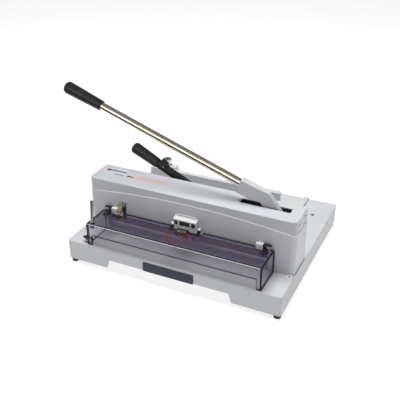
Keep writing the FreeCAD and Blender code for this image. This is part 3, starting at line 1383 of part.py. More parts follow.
def cover_lift_rod():
    """Metal rod that lifts the cover and rests on the housing when it is open."""
    lean = math.radians(ROD_LEAN)
    direction = Vector(math.sin(lean), 0, math.cos(lean))
    foot_at = rod_foot() + Vector(0, 0, ROD_NUT_H / 2)
    upper = rod(direction, foot_at, ROD_R, ROD_LENGTH - ROD_NUT_H / 2)
    stud = rod_z(foot_at.x, foot_at.y, GUARD_TOP_Z - GUARD_T, GUARD_TOP_Z + ROD_NUT_H,
                 KNOB_STUD_R)
    return join([upper, stud])


def rod_nut():
    """Dark round nut at the foot of the lift rod."""
    at = rod_foot()
    nut = rod_z(at.x, at.y, GUARD_TOP_Z, GUARD_TOP_Z + ROD_NUT_H, ROD_NUT_R)
    return nut.cut(cover_lift_rod())


def cover_side_knob():
    """Black knob on the cover's left side, with its stud and inner nut."""
    z = DECK_Z + KNOB_ABOVE_DECK
    x_out = GUARD_X0 - KNOB_OUT
    head = rod_x(x_out, GUARD_X0 - KNOB_NECK_L, KNOB_Y, z, KNOB_R)
    neck = rod_x(GUARD_X0 - KNOB_NECK_L, GUARD_X0, KNOB_Y, z, KNOB_NECK_R)
    stud = rod_x(GUARD_X0, GUARD_X0 + GUARD_T, KNOB_Y, z, KNOB_STUD_R)
    nut = rod_x(GUARD_X0 + GUARD_T, GUARD_X0 + GUARD_T + KNOB_INNER_T, KNOB_Y, z, KNOB_INNER_R)
    return join([head, neck, stud, nut])


def hinge_block(x0):
    """White nylon block on the housing that the cover's pin turns in."""
    y1 = HOUSING_Y0
    y0 = y1 - BLOCK_D
    z0 = HINGE_Z - BLOCK_H / 2
    block = box(x0, x0 + BLOCK_W, y0, y1, z0, z0 + BLOCK_H)
    block = round_edges(block, BLOCK_EDGE_R, X_AXIS, lambda middle: middle.y < y1 - OVER)
    bore = rod_x(x0 - OVER, x0 + BLOCK_W + OVER, HINGE_Y, HINGE_Z, HINGE_PIN_R + HINGE_FIT)
    return block.cut(bore)


def hinge_block_left():
    """Nylon block at the cover's left end."""
    return hinge_block(left_block_x())


def hinge_block_right():
    """Nylon block at the cover's right end."""
    return hinge_block(right_block_x())


def cover_ear(x0, side):
    """Black T-shaped ear on the cover; side is -1 for the left one, 1 for the right."""
    x1 = x0 + EAR_T
    boss = rod_x(x0, x1, HINGE_Y, HINGE_Z, EAR_R)
    leg = box(x0, x1, HINGE_Y - EAR_R, HINGE_Y, GUARD_TOP_Z, HINGE_Z)
    foot_x0 = x0 - EAR_FOOT_SPREAD if side < 0 else x0
    foot_x1 = x1 if side < 0 else x1 + EAR_FOOT_SPREAD
    rear = GUARD_REAR_Y - GUARD_NOTCH_D
    foot_plate = box(foot_x0, foot_x1, rear - EAR_FOOT_D, HINGE_Y, GUARD_TOP_Z,
                     GUARD_TOP_Z + EAR_FOOT_T)
    bar_x0 = x1 - EAR_BAR_W if side < 0 else x0
    bar = box(bar_x0, bar_x0 + EAR_BAR_W, HINGE_Y - EAR_BAR_D / 2, HINGE_Y + EAR_BAR_D / 2,
              HINGE_Z + EAR_R - EAR_BAR_T, HINGE_Z + EAR_R)
    bore = rod_x(x0 - OVER, x1 + OVER, HINGE_Y, HINGE_Z, HINGE_PIN_R)
    return join([boss, leg, foot_plate, bar]).cut(bore)


def cover_ear_left():
    """Ear to the left of the left block."""
    return cover_ear(left_block_x() - EAR_GAP - EAR_T, -1)


def cover_ear_right():
    """Ear to the right of the right block."""
    return cover_ear(right_block_x() + BLOCK_W + EAR_GAP, 1)


def hinge_pins():
    """Steel pins fixed in the cover's ears and centre bushings."""
    left = rod_x(left_block_x() - EAR_GAP - EAR_T, left_block_x() + BLOCK_W, HINGE_Y, HINGE_Z,
                 HINGE_PIN_R)
    right = rod_x(right_block_x(), right_block_x() + BLOCK_W + EAR_GAP + EAR_T, HINGE_Y,
                  HINGE_Z, HINGE_PIN_R)
    reach = CENTRE_W / 2 + EAR_GAP + CENTRE_BUSH_W
    middle = rod_x(CENTRE_X - reach, CENTRE_X + reach, HINGE_Y, HINGE_Z, HINGE_PIN_R)
    return group([left, middle, right])


def centre_bracket():
    """Bright steel bracket on the housing that holds the middle of the hinge."""
    x0 = CENTRE_X - CENTRE_W / 2
    x1 = CENTRE_X + CENTRE_W / 2
    z0 = HINGE_Z - CENTRE_DEPTH / 2
    z1 = z0 + CENTRE_H
    y1 = HOUSING_Y0
    y0 = y1 - CENTRE_DEPTH
    back = box(x0, x1, y1 - CENTRE_PLATE_T, y1, z0, z1 + CENTRE_TOP_RISE)
    roof = prism_x([(y1 - CENTRE_PLATE_T, z1 + CENTRE_TOP_RISE), (y1, z1 + CENTRE_TOP_RISE),
                    (y0 - CENTRE_LIP_D / 2 + CENTRE_PLATE_T, z1),
                    (y0 - CENTRE_LIP_D / 2, z1)], x0, x1)
    step = (x1 - x0 - CENTRE_POST_W) / 3
    posts = []
    for index in range(4):
        left = x0 + index * step
        posts.append(box(left, left + CENTRE_POST_W, y0, y1, z0, z1))
    front_lip = box(x0, x1, y0 - CENTRE_LIP_D / 2, y0 - CENTRE_LIP_D / 2 + CENTRE_PLATE_T,
                    z1 - CENTRE_LIP_D / 2, z1)
    brow = box(x0, x1, y0 - CENTRE_LIP_D / 2, y1, z1 - CENTRE_PLATE_T, z1)
    bore = rod_x(x0 - OVER, x1 + OVER, HINGE_Y, HINGE_Z, HINGE_PIN_R + HINGE_FIT)
    return join([back, roof, brow, front_lip] + posts).cut(bore)


def centre_bushings():
    """White knuckles of the cover at both sides of the centre bracket."""
    rear = GUARD_REAR_Y - GUARD_NOTCH_D
    pieces = []
    for x0 in (CENTRE_X - CENTRE_W / 2 - EAR_GAP - CENTRE_BUSH_W,
               CENTRE_X + CENTRE_W / 2 + EAR_GAP):
        x1 = x0 + CENTRE_BUSH_W
        knuckle = rod_x(x0, x1, HINGE_Y, HINGE_Z, CENTRE_BUSH_R)
        leg = prism_x([(HINGE_Y - CENTRE_BUSH_R, HINGE_Z), (HINGE_Y, HINGE_Z),
                       (HINGE_Y, GUARD_TOP_Z), (rear - EAR_FOOT_D / 2, GUARD_TOP_Z),
                       (rear - EAR_FOOT_D / 2, GUARD_TOP_Z + EAR_FOOT_T),
                       (HINGE_Y - CENTRE_BUSH_R, GUARD_TOP_Z + EAR_FOOT_T)], x0, x1)
        bore = rod_x(x0 - OVER, x1 + OVER, HINGE_Y, HINGE_Z, HINGE_PIN_R)
        pieces.append(join([knuckle, leg]).cut(bore))
    return group(pieces)


def latch_plate():
    """Brass striker on the cover in front of the centre bracket."""
    x0 = CENTRE_X - HOOK_W / 2 - HOOK_LEFT_OF_CENTRE
    rear = GUARD_REAR_Y - GUARD_NOTCH_D
    plate = box(x0, x0 + HOOK_W, rear - HOOK_FOOT_D, rear, GUARD_TOP_Z, GUARD_TOP_Z + HOOK_T)
    lip = box(x0, x0 + HOOK_W, rear - HOOK_T, rear, GUARD_TOP_Z, GUARD_TOP_Z + HOOK_LIP_H)
    return join([plate, lip])


def hinge_block_screws():
    """Screws that fix the nylon blocks and the centre bracket to the wall."""
    screws = []
    inner = HOUSING_Y0 + WALL
    for x0 in (left_block_x(), right_block_x()):
        for x in (x0 + BLOCK_W / 4, x0 + BLOCK_W * 3 / 4):
            z = HINGE_Z + BLOCK_H / 2
            screws.append(rod_z(x, HINGE_Y, z, z + EAR_BAR_T / 2, HINGE_PIN_R))
    z = HINGE_Z - CENTRE_DEPTH / 2 + CENTRE_H + CENTRE_TOP_RISE / 2 - CENTRE_PLATE_T
    for x in (CENTRE_X - CENTRE_W / 4, CENTRE_X + CENTRE_W / 4):
        screws.append(rod_y(x, HOUSING_Y0 - CENTRE_PLATE_T - EAR_BAR_T / 2,
                            HOUSING_Y0 - CENTRE_PLATE_T, z, HINGE_PIN_R))
        screws.append(rod_y(x, HOUSING_Y0 + WALL, inner + EAR_BAR_T / 2, z, HINGE_PIN_R))
    return group(screws)


# ---- Interlock lever ----
def interlock_lever():
    """Brass bell crank in the front wall's slot, its toe just above the cover."""
    y, z = interlock_axis()
    x0 = INTERLOCK_X - INTERLOCK_T / 2
    toe_y = y - INTERLOCK_TOE_OUT
    toe_z = GUARD_TOP_Z + INTERLOCK_TOE_R + INTERLOCK_TOE_GAP
    hub = rod_x(x0, x0 + INTERLOCK_T, y, z, INTERLOCK_HUB_R)
    toe = rod_x(x0, x0 + INTERLOCK_T, toe_y, toe_z, INTERLOCK_TOE_R)
    heading = math.atan2(z - toe_z, y - toe_y)
    normal_y = math.sin(heading)
    normal_z = -math.cos(heading)
    arm = prism_x([(y + normal_y * INTERLOCK_HUB_R, z + normal_z * INTERLOCK_HUB_R),
                   (toe_y + normal_y * INTERLOCK_TOE_R, toe_z + normal_z * INTERLOCK_TOE_R),
                   (toe_y - normal_y * INTERLOCK_TOE_R, toe_z - normal_z * INTERLOCK_TOE_R),
                   (y - normal_y * INTERLOCK_HUB_R, z - normal_z * INTERLOCK_HUB_R)],
                  x0, x0 + INTERLOCK_T)
    bore = rod_x(x0 - OVER, x0 + INTERLOCK_T + OVER, y, z, INTERLOCK_PIN_R + INTERLOCK_FIT)
    return join([hub, arm, toe]).cut(bore)


def interlock_pin():
    """Pin of the interlock lever, fixed in the slot's sides."""
    y, z = interlock_axis()
    reach = INTERLOCK_SLOT_W / 2 + WALL * 2
    return rod_x(INTERLOCK_X - reach, INTERLOCK_X + reach, y, z, INTERLOCK_PIN_R)


# ---- Rear table ----
def guide_rail():
    """Left side guide, which is also the back gauge's rail."""
    rail = box(GUIDE_X0, GUIDE_X1, GUIDE_Y0, GUIDE_Y1, DECK_Z, DECK_Z + GUIDE_H)
    scale_x0 = (GUIDE_X0 + GUIDE_X1 - SCALE_W) / 2
    seat = box(scale_x0, scale_x0 + SCALE_W, GUIDE_Y0 - OVER, GUIDE_Y1 + OVER,
               DECK_Z + GUIDE_H - SCALE_T, DECK_Z + GUIDE_H + OVER)
    return rail.cut(seat)


def scale_strip():
    """Measuring strip let into the top of the left side guide."""
    x0 = (GUIDE_X0 + GUIDE_X1 - SCALE_W) / 2
    return box(x0, x0 + SCALE_W, GUIDE_Y0, GUIDE_Y1,
               DECK_Z + GUIDE_H - SCALE_T, DECK_Z + GUIDE_H)


def side_guide_right():
    """Low right side guide."""
    return box(RIGHT_GUIDE_X1 - RIGHT_GUIDE_W, RIGHT_GUIDE_X1, GUIDE_Y0, BASE_D - BASE_EDGE_R,
               DECK_Z, DECK_Z + RIGHT_GUIDE_H)


def rail_tunnel(y0, y1):
    """Space that the rail needs through the gauge and its slider."""
    gap = GAUGE_SLIDE_GAP
    return box(GUIDE_X0 - gap, GUIDE_X1 + gap, y0 - OVER, y1 + OVER, DECK_Z - OVER,
               DECK_Z + GUIDE_H + gap)


def back_gauge():
    """Upright stop for the paper, with a stiffening flange along its top."""
    z0 = DECK_Z + GAUGE_LIFT
    face = box(GAUGE_X0, GAUGE_X1, GAUGE_Y0, GAUGE_Y1, z0, GAUGE_TOP)
    flange = box(GAUGE_X0, GAUGE_X1, GAUGE_Y0, GAUGE_Y1 + GAUGE_FLANGE_D,
                 GAUGE_TOP - GAUGE_T / 2, GAUGE_TOP)
    return join([face, flange]).cut(rail_tunnel(GAUGE_Y0, GAUGE_Y1))


def gauge_slider():
    """Block behind the gauge that rides on the rail, with the knob's shelf."""
    x0 = GUIDE_X0 - SLIDER_SIDE
    x1 = GUIDE_X1 + SLIDER_SIDE
    y0 = GAUGE_Y1
    y1 = y0 + SLIDER_D
    z0 = DECK_Z + GAUGE_LIFT
    top = GAUGE_TOP - GAUGE_T / 2
    body = box(x0, x1, y0, y1, z0, SLIDER_Z1)
    neck = box(x0, x1, y0, y0 + SHELF_D / 2, SLIDER_Z1 - OVER, top)
    shelf_y0 = GAUGE_Y1 + GAUGE_FLANGE_D
    shelf = box(x0, x0 + SHELF_W, shelf_y0, shelf_y0 + SHELF_D, GAUGE_TOP,
                GAUGE_TOP + SHELF_T)
    riser = box(x0, x1, shelf_y0, shelf_y0 + SHELF_D, SLIDER_Z1 - OVER, GAUGE_TOP)
    post = rod_z(lock_place().x, lock_place().y, GAUGE_TOP, lock_post_top(), LOCK_POST_R)
    return join([body, neck, riser, shelf, post]).cut(rail_tunnel(y0, y1))


def lock_place():
    """Axis of the lock knob."""
    x = (GUIDE_X0 + GUIDE_X1) / 2 - LOCK_LEFT_OF_RAIL
    return Vector(x, GAUGE_Y1 + GAUGE_FLANGE_D + SHELF_D / 2, 0)


def lock_post_top():
    """Top of the stud that the lock knob turns on."""
    return GAUGE_TOP + SHELF_T + LOCK_POST_H


def gauge_lock_knob():
    """Plated star knob that locks the back gauge."""
    at = lock_place()
    z0 = GAUGE_TOP + SHELF_T + LOCK_KNOB_GAP
    z1 = z0 + LOCK_KNOB_H
    head = rod_z(at.x, at.y, z0 + LOCK_KNOB_H / 4, z1, LOCK_KNOB_R)
    hub = rod_z(at.x, at.y, z0, z1, LOCK_HUB_R)
    cuts = [rod_z(at.x, at.y, z0 - OVER, lock_post_top() + LOCK_KNOB_GAP,
                  LOCK_POST_R + LOCK_FIT)]
    for index in range(LOCK_KNOB_FLUTES):
        turn = math.radians(FULL_TURN * index / LOCK_KNOB_FLUTES)
        cuts.append(rod_z(at.x + LOCK_KNOB_R * math.cos(turn), at.y + LOCK_KNOB_R * math.sin(turn),
                          z0 - OVER, z1 + OVER, LOCK_FLUTE_R))
    return join([head, hub]).cut(cuts)


# ---- Assembly ----
BUILDERS = {
    "base_casting": base_casting,
    "feet": feet,
    "foot_screws": foot_screws,
    "front_plate": front_plate,
    "cutting_stick": cutting_stick,
    "table_screws": table_screws,
    "housing_body": housing_body,
    "top_cover": top_cover,
    "rear_cover": rear_cover,
    "cover_screws": cover_screws,
    "throat_lip": throat_lip,
    "left_frame": left_frame,
    "right_frame": right_frame,
    "frame_bolts": frame_bolts,
    "front_bridge": front_bridge,
    "rear_bridge": rear_bridge,
    "lever_shaft": lever_shaft,
    "lever_shaft_screw": lever_shaft_screw,
    "blade_carrier": blade_carrier,
    "blade": blade,
    "blade_screws": blade_screws,
    "guide_bolts": guide_bolts,
    "clamp_beam": clamp_beam,
    "clamp_yoke": clamp_yoke,
    "clamp_posts": clamp_posts,
    "clamp_springs": clamp_springs,
    "clamp_shaft": clamp_shaft,
    "clamp_bushing": clamp_bushing,
    "clamp_lever": clamp_lever,
    "clamp_grip": clamp_grip,
    "clamp_nut": clamp_nut,
    "clamp_trigger": clamp_trigger,
    "trigger_pin": trigger_pin,
    "lever_arm": lever_arm,
    "lever_bushing": lever_bushing,
    "crank_pin": crank_pin,
    "crank_roller": crank_roller,
    "lever_tube": lever_tube,
    "lever_grip": lever_grip,
    "safety_cover": safety_cover,
    "cover_lift_rod": cover_lift_rod,
    "rod_nut": rod_nut,
    "cover_side_knob": cover_side_knob,
    "cover_ear_left": cover_ear_left,
    "cover_ear_right": cover_ear_right,
    "hinge_pins": hinge_pins,
    "hinge_block_left": hinge_block_left,
    "hinge_block_right": hinge_block_right,
    "hinge_block_screws": hinge_block_screws,
    "centre_bracket": centre_bracket,
    "centre_bushings": centre_bushings,
    "latch_plate": latch_plate,
    "interlock_lever": interlock_lever,
    "interlock_pin": interlock_pin,
    "guide_rail": guide_rail,
    "scale_strip": scale_strip,
    "side_guide_right": side_guide_right,
    "back_gauge": back_gauge,
    "gauge_slider": gauge_slider,
    "gauge_lock_knob": gauge_lock_knob,
}


def build_nodes():
    """Every piece in working coordinates, by name."""
    return {name: build() for name, build in BUILDERS.items()}


def frame_shift(nodes):
    """Move that puts the origin at the bounding box's bottom centre."""
    whole = Part.makeCompound(list(nodes.values())).optimalBoundingBox(False)
    return Vector(-(whole.XMin + whole.XMax) / 2, -(whole.YMin + whole.YMax) / 2, -whole.ZMin)


def main():
    """Build, place and export every piece."""
    nodes = build_nodes()
    shift = frame_shift(nodes)
    os.makedirs("parts", exist_ok=True)
    for name, shape in nodes.items():
        shape.translate(shift)
        shape.exportStep(f"parts/{name}.step")
    print("pieces", len(nodes), "shift", tuple(round(value, 3) for value in shift))


if __name__ == "__main__":
    main()
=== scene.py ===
"""Looks of a table-top guillotine paper cutter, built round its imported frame.

Metres, +Z up, +X to the user's right, +Y away from the user. The origin is
the middle of the machine's footprint, on the surface that it stands on.
"""

import json
import math

import bmesh
import bpy
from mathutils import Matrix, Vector


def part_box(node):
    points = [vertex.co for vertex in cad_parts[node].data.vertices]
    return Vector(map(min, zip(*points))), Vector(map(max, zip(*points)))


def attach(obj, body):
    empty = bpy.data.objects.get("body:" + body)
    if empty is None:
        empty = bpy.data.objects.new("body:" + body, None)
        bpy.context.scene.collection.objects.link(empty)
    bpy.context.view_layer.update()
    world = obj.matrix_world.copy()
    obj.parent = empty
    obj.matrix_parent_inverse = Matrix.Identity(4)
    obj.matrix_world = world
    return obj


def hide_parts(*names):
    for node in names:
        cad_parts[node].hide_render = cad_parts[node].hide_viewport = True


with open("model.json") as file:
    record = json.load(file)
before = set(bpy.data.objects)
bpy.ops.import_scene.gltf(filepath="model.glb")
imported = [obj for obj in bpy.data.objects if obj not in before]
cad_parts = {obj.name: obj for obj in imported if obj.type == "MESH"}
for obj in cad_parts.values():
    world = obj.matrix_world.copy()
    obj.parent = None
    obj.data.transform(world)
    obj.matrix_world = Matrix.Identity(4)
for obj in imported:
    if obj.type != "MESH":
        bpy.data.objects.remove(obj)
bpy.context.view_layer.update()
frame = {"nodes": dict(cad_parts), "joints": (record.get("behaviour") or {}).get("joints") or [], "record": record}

MM = 0.001
FULL_TURN = 2 * math.pi
X_AXIS = Vector((1, 0, 0))
Y_AXIS = Vector((0, 1, 0))
Z_AXIS = Vector((0, 0, 1))

# ---- Camera and studio ----
CAMERA_PLACE = Vector((0.6704, -1.4111, 0.9835))
CAMERA_DOWN = math.radians(28.716)
CAMERA_LEFT = math.radians(25.146)
CAMERA_LENS = 57.9
FLOOR_SIZE = 60.0
FLOOR_COLOUR = (0.40, 0.40, 0.40)
FLOOR_GLOW = 0.74
SKY_COLOUR = (0.23, 0.225, 0.22)
TOP_LIGHT_PLACE = (-0.2, 0.05, 3.0)
TOP_LIGHT_SIZE = 1.7
TOP_LIGHT_POWER = 112.0
CARD_WIDTH = 14.0
CARD_T = 0.004
DARK_CARD_NEAR = 0.42
DARK_CARD_FAR = 12.0
BRIGHT_CARD_AWAY = 3.0
BRIGHT_CARD_FOOT = 0.72
BRIGHT_CARD_TOP = 3.9
DARK_CARD_COLOUR = (0.01, 0.01, 0.01)
BRIGHT_CARD_COLOUR = (1.0, 0.96, 0.93)
BRIGHT_CARD_GLOW = 0.7

# ---- How pieces are finished ----
SMOOTH_ANGLE = math.radians(32)
SHARP_ANGLE = math.radians(24)
FLAT_ANGLE = math.radians(0.6)
MERGE_GAP = 0.01 * MM
ROUND_STEPS = 48
SMALL_ROUND_STEPS = 24
PART_ROUND_STEPS = 40
SHEET_ROUND_STEPS = 6
ROD_RIM_ANGLE = math.radians(50)
SLAB_RIM_ANGLE = math.radians(60)
HAIR_EDGE = 0.1 * MM
FINE_EDGE = 0.3 * MM
THIN_EDGE = 0.4 * MM
SMALL_EDGE = 0.5 * MM
SOFT_EDGE = 0.6 * MM
FULL_EDGE = 0.8 * MM
FINE_ROUND_STEPS = 64
NOISE_LOW = 0.3
NOISE_HIGH = 0.7
SHEET_IOR = 2.1


def joint_place(name):
    """Where a joint turns, in the row frame."""
    for joint in frame["joints"]:
        if joint["name"] == name:
            return Vector(joint["pos_m"])
    raise ValueError(name)


# ---------------------------------------------------------------- materials
def start_material(name):
    """A node material with one shader, and object coordinates for its patterns."""
    material = bpy.data.materials.new(name)
    material.use_nodes = True
    nodes = material.node_tree.nodes
    shader = nodes["Principled BSDF"]
    place = nodes.new("ShaderNodeTexCoord")
    return material, nodes, material.node_tree.links, shader, place.outputs["Object"]


def noise(nodes, links, place, scale, detail, stretch=(1, 1, 1)):
    """Noise in object space, stretched for grain that runs one way."""
    mapping = nodes.new("ShaderNodeMapping")
    mapping.inputs["Scale"].default_value = stretch
    links.new(place, mapping.inputs["Vector"])
    pattern = nodes.new("ShaderNodeTexNoise")
    pattern.inputs["Scale"].default_value = scale
    pattern.inputs["Detail"].default_value = detail
    links.new(mapping.outputs["Vector"], pattern.inputs["Vector"])
    return pattern.outputs["Fac"]


def spread(nodes, links, value, low, high):
    """Map the middle of a noise pattern onto a range."""
    ramp = nodes.new("ShaderNodeMapRange")
    ramp.inputs["From Min"].default_value = NOISE_LOW
    ramp.inputs["From Max"].default_value = NOISE_HIGH
    ramp.inputs["To Min"].default_value = low
    ramp.inputs["To Max"].default_value = high
    links.new(value, ramp.inputs["Value"])
    return ramp.outputs["Result"]


def tint(nodes, links, value, colour, change):
    """Colour that gets lighter and darker with a pattern."""
    mix = nodes.new("ShaderNodeMix")
    mix.data_type = "RGBA"
    dark = tuple(channel * (1 - change) for channel in colour)
    light = tuple(min(channel * (1 + change), 1) for channel in colour)
    mix.inputs["A"].default_value = dark + (1.0,)
    mix.inputs["B"].default_value = light + (1.0,)
    links.new(value, mix.inputs["Factor"])
    return mix.outputs["Result"]


def bumpy(nodes, links, value, shader, depth):
    """Surface relief from a pattern."""
    bump = nodes.new("ShaderNodeBump")
    bump.inputs["Distance"].default_value = depth
    bump.inputs["Strength"].default_value = 1.0
    links.new(value, bump.inputs["Height"])
    links.new(bump.outputs["Normal"], shader.inputs["Normal"])


def surface(name, colour, rough, change=0.04, scale=30.0, grain=900.0, relief=0.00004,
            metallic=0.0, rough_change=0.06, stretch=(1, 1, 1), specular=0.5):
    """The common finish: cloudy colour, uneven gloss and a fine relief."""
    material, nodes, links, shader, place = start_material(name)
    cloud = noise(nodes, links, place, scale, 4.0)
    fine = noise(nodes, links, place, grain, 2.0, stretch)
    shade = spread(nodes, links, cloud, 0.0, 1.0)
    links.new(tint(nodes, links, shade, colour, change), shader.inputs["Base Color"])
    gloss = spread(nodes, links, fine, max(rough - rough_change, 0.02), rough + rough_change)
    links.new(gloss, shader.inputs["Roughness"])
    shader.inputs["Metallic"].default_value = metallic
    shader.inputs["Specular IOR Level"].default_value = specular
    bumpy(nodes, links, fine, shader, relief)
    return material


def powder_coat(name, colour):
    """Light grey powder coat with a fine orange peel."""
    return surface(name, colour, 0.42, change=0.025, scale=9.0, grain=420.0, relief=0.00006)


def brushed(name, colour, rough, stretch, relief=0.000006):
    """Metal with fine lines along one direction."""
    return surface(name, colour, rough, change=0.08, scale=22.0, grain=300.0, relief=relief,
                   metallic=1.0, rough_change=0.05, stretch=stretch)


def smoked_sheet(name, colour, opacity):
    """Smoked clear plastic: glossy, with faint wiping marks."""
    material, nodes, links, shader, place = start_material(name)
    marks = noise(nodes, links, place, 14.0, 5.0, (1.0, 5.0, 1.0))
    links.new(spread(nodes, links, marks, 0.012, 0.05), shader.inputs["Roughness"])
    cloud = spread(nodes, links, noise(nodes, links, place, 6.0, 2.0), 0.0, 1.0)
    links.new(tint(nodes, links, cloud, colour, 0.12), shader.inputs["Base Color"])
    shader.inputs["Alpha"].default_value = opacity
    shader.inputs["IOR"].default_value = SHEET_IOR
    return material


MATERIALS = {
    "table_paint": powder_coat("table_paint", (0.53, 0.545, 0.57)),
    # housing_paint is a lighter copy of the table's grey: painted light that offsets the shade the cover and top
    # throw on the housing front.
    "housing_paint": powder_coat("housing_paint", (0.575, 0.59, 0.63)),
    "top_paint": powder_coat("top_paint", (0.525, 0.54, 0.572)),
    "arm_paint": powder_coat("arm_paint", (0.52, 0.53, 0.545)),
    "badge_navy": surface("badge_navy", (0.012, 0.017, 0.040), 0.5, 0.2, 60.0, 1200.0, 0.00002),
    "foot_rubber": surface("foot_rubber", (0.018, 0.018, 0.019), 0.75, 0.2, 80.0, 1500.0, 0.00008),
    "screw_zinc": brushed("screw_zinc", (0.62, 0.62, 0.6), 0.34, (1, 1, 6)),
    "stick_plastic": surface("stick_plastic", (0.68, 0.65, 0.56), 0.5, 0.08, 40.0, 700.0, 0.00005),
    "lip_red": surface("lip_red", (0.075, 0.010, 0.016), 0.45, 0.15, 30.0, 800.0, 0.00003),
    "frame_steel": surface("frame_steel", (0.10, 0.105, 0.11), 0.5, 0.2, 25.0, 260.0, 0.00005,
                           metallic=0.7, stretch=(8, 1, 1)),
    "shaft_steel": brushed("shaft_steel", (0.5, 0.5, 0.5), 0.3, (1, 8, 1)),
    "blade_steel": brushed("blade_steel", (0.66, 0.67, 0.7), 0.26, (1, 1, 9)),
    "spring_steel": brushed("spring_steel", (0.22, 0.22, 0.25), 0.35, (1, 1, 4)),
    "bronze": brushed("bronze", (0.55, 0.34, 0.14), 0.34, (1, 7, 1)),
    "black_steel": surface("black_steel", (0.012, 0.012, 0.013), 0.38, 0.2, 40.0, 700.0, 0.00003),
    "grip_black": surface("grip_black", (0.010, 0.010, 0.012), 0.42, 0.25, 55.0, 1100.0, 0.00006),
    "tube_nickel": brushed("tube_nickel", (0.80, 0.75, 0.67), 0.13, (1, 9, 1), 0.000001),
    "rod_steel": brushed("rod_steel", (0.42, 0.40, 0.38), 0.3, (6, 6, 1), 0.000003),
    # The top sheet's smoke is darker and denser than the copy on the front and sides: painted shade for the dim
    # inside seen through the top.
    "smoke_acrylic": smoked_sheet("smoke_acrylic", (0.055, 0.042, 0.09), 0.37),
    "nylon_white": surface("nylon_white", (0.82, 0.82, 0.82), 0.4, 0.03, 60.0, 900.0, 0.00003),
    "bracket_steel": surface("bracket_steel", (0.84, 0.84, 0.86), 0.3, 0.04, 22.0, 300.0,
                             0.000003, metallic=0.25, stretch=(1, 8, 8)),
    "latch_brass": brushed("latch_brass", (0.66, 0.60, 0.46), 0.26, (6, 1, 6), 0.000003),
    "gauge_paint": powder_coat("gauge_paint", (0.55, 0.56, 0.58)),
    "knob_chrome": brushed("knob_chrome", (0.76, 0.77, 0.79), 0.16, (1, 1, 5), 0.000002),
}
# Paler, clearer copy of the same smoked acrylic for the cover's front and sides: painted light, where more light
# comes through than through the top.
LIT_SMOKE_COPY = smoked_sheet("smoke_lit_copy", (0.17, 0.14, 0.26), 0.19)
# Pale strip material for the top front edge of the cover: a painted highlight.
PAINTED_EDGE_HIGHLIGHT = smoked_sheet("painted_edge_highlight", (0.86, 0.86, 0.92), 0.75)
EDGE_SMOKE = surface("smoke_edge", (0.008, 0.007, 0.014), 0.45, 0.2, 60.0, 900.0, 0.00001,
                     specular=0.25)
SIGN_RED = surface("sign_red", (0.14, 0.016, 0.018), 0.5, 0.15, 90.0, 1500.0, 0.00001)
MARK_BLUE = surface("mark_blue", (0.05, 0.08, 0.32), 0.45, 0.1, 90.0, 1500.0, 0.00001)
MARK_GOLD = surface("mark_gold", (0.36, 0.33, 0.25), 0.4, 0.1, 90.0, 1500.0, 0.00001)
MARK_PALE_RED = surface("mark_pale_red", (0.72, 0.33, 0.33), 0.5, 0.1, 90.0, 1500.0, 0.00001)
# Flat black for the printed ticks and the knob's plug, and also as painted shade in the screws' cross recesses.
FLAT_BLACK_AND_SHADE = surface("flat_black_and_shade", (0.012, 0.012, 0.014), 0.5, 0.1, 90.0, 1500.0, 0.00001)


# ---------------------------------------------------------------- mesh tools
def in_mm(points):
    """Points given in millimetres, in metres."""
    return [tuple(value * MM for value in point) for point in points]


def absorb(target, part, material=0):
    """Add a finished part to a larger mesh, in one material slot."""
    for face in part.faces:
        face.material_index = material
    add_as_is(target, part)


def add_as_is(target, part):
    """Add a part that already has its own material slots."""
    scratch = bpy.data.meshes.new("scratch")
    part.to_mesh(scratch)
    part.free()
    target.from_mesh(scratch)
    bpy.data.meshes.remove(scratch)


def soften(part, width, segments=2, angle=SHARP_ANGLE):
    """Round every edge that turns by more than an angle."""
    part.normal_update()
    sharp = [edge for edge in part.edges
             if len(edge.link_faces) == 2 and edge.calc_face_angle(0) > angle]
    bmesh.ops.bevel(part, geom=sharp, offset=width, offset_type="OFFSET", affect="EDGES",
                    segments=segments, profile=0.5, material=-1, clamp_overlap=True)


def block(target, low, high, edge=0.0, material=0, segments=2):
    """Box between two corners, with its edges rounded."""
    part = bmesh.new()
    bmesh.ops.create_cube(part, size=1.0)
    low = Vector(low)
    high = Vector(high)
    bmesh.ops.scale(part, vec=high - low, verts=part.verts)
    bmesh.ops.translate(part, vec=(low + high) / 2, verts=part.verts)
    if edge:
        soften(part, edge, segments)
    absorb(target, part, material)


def blocks(target, anchor, table):
    """Boxes from two corners and an edge each, in millimetres from an anchor."""
    for start, end, edge in table:
        block(target, anchor + Vector(start) * MM, anchor + Vector(end) * MM, edge * MM)


def turning(direction):
    """Rotation that carries Z onto a direction."""
    return direction.to_track_quat("Z", "Y").to_matrix()


def rod(target, start, end, radius, edge, material=0, steps=ROUND_STEPS):
    """Round bar between two points, with its end edges rounded."""
    start = Vector(start)
    end = Vector(end)
    part = bmesh.new()
    bmesh.ops.create_cone(part, cap_ends=True, segments=steps, radius1=radius,
                          radius2=radius, depth=(end - start).length)
    soften(part, edge, 3, ROD_RIM_ANGLE)
    bmesh.ops.rotate(part, cent=(0, 0, 0), matrix=turning(end - start), verts=part.verts)
    bmesh.ops.translate(part, vec=(start + end) / 2, verts=part.verts)
    absorb(target, part, material)


def turned(target, origin, direction, profile, material=0, steps=ROUND_STEPS):
    """Turned piece: (along, out) points spun about a line and closed at its ends."""
    part = bmesh.new()
    points = [part.verts.new((out, 0, along)) for along, out in profile]
    for first, second in zip(points, points[1:]):
        part.edges.new((first, second))
    bmesh.ops.spin(part, geom=part.verts[:] + part.edges[:], cent=(0, 0, 0), axis=Z_AXIS,
                   angle=FULL_TURN, steps=steps, use_merge=True, use_duplicate=False)
    bmesh.ops.remove_doubles(part, verts=part.verts, dist=MERGE_GAP)
    bmesh.ops.recalc_face_normals(part, faces=part.faces)
    bmesh.ops.rotate(part, cent=(0, 0, 0), matrix=turning(direction), verts=part.verts)
    bmesh.ops.translate(part, vec=origin, verts=part.verts)
    absorb(target, part, material)


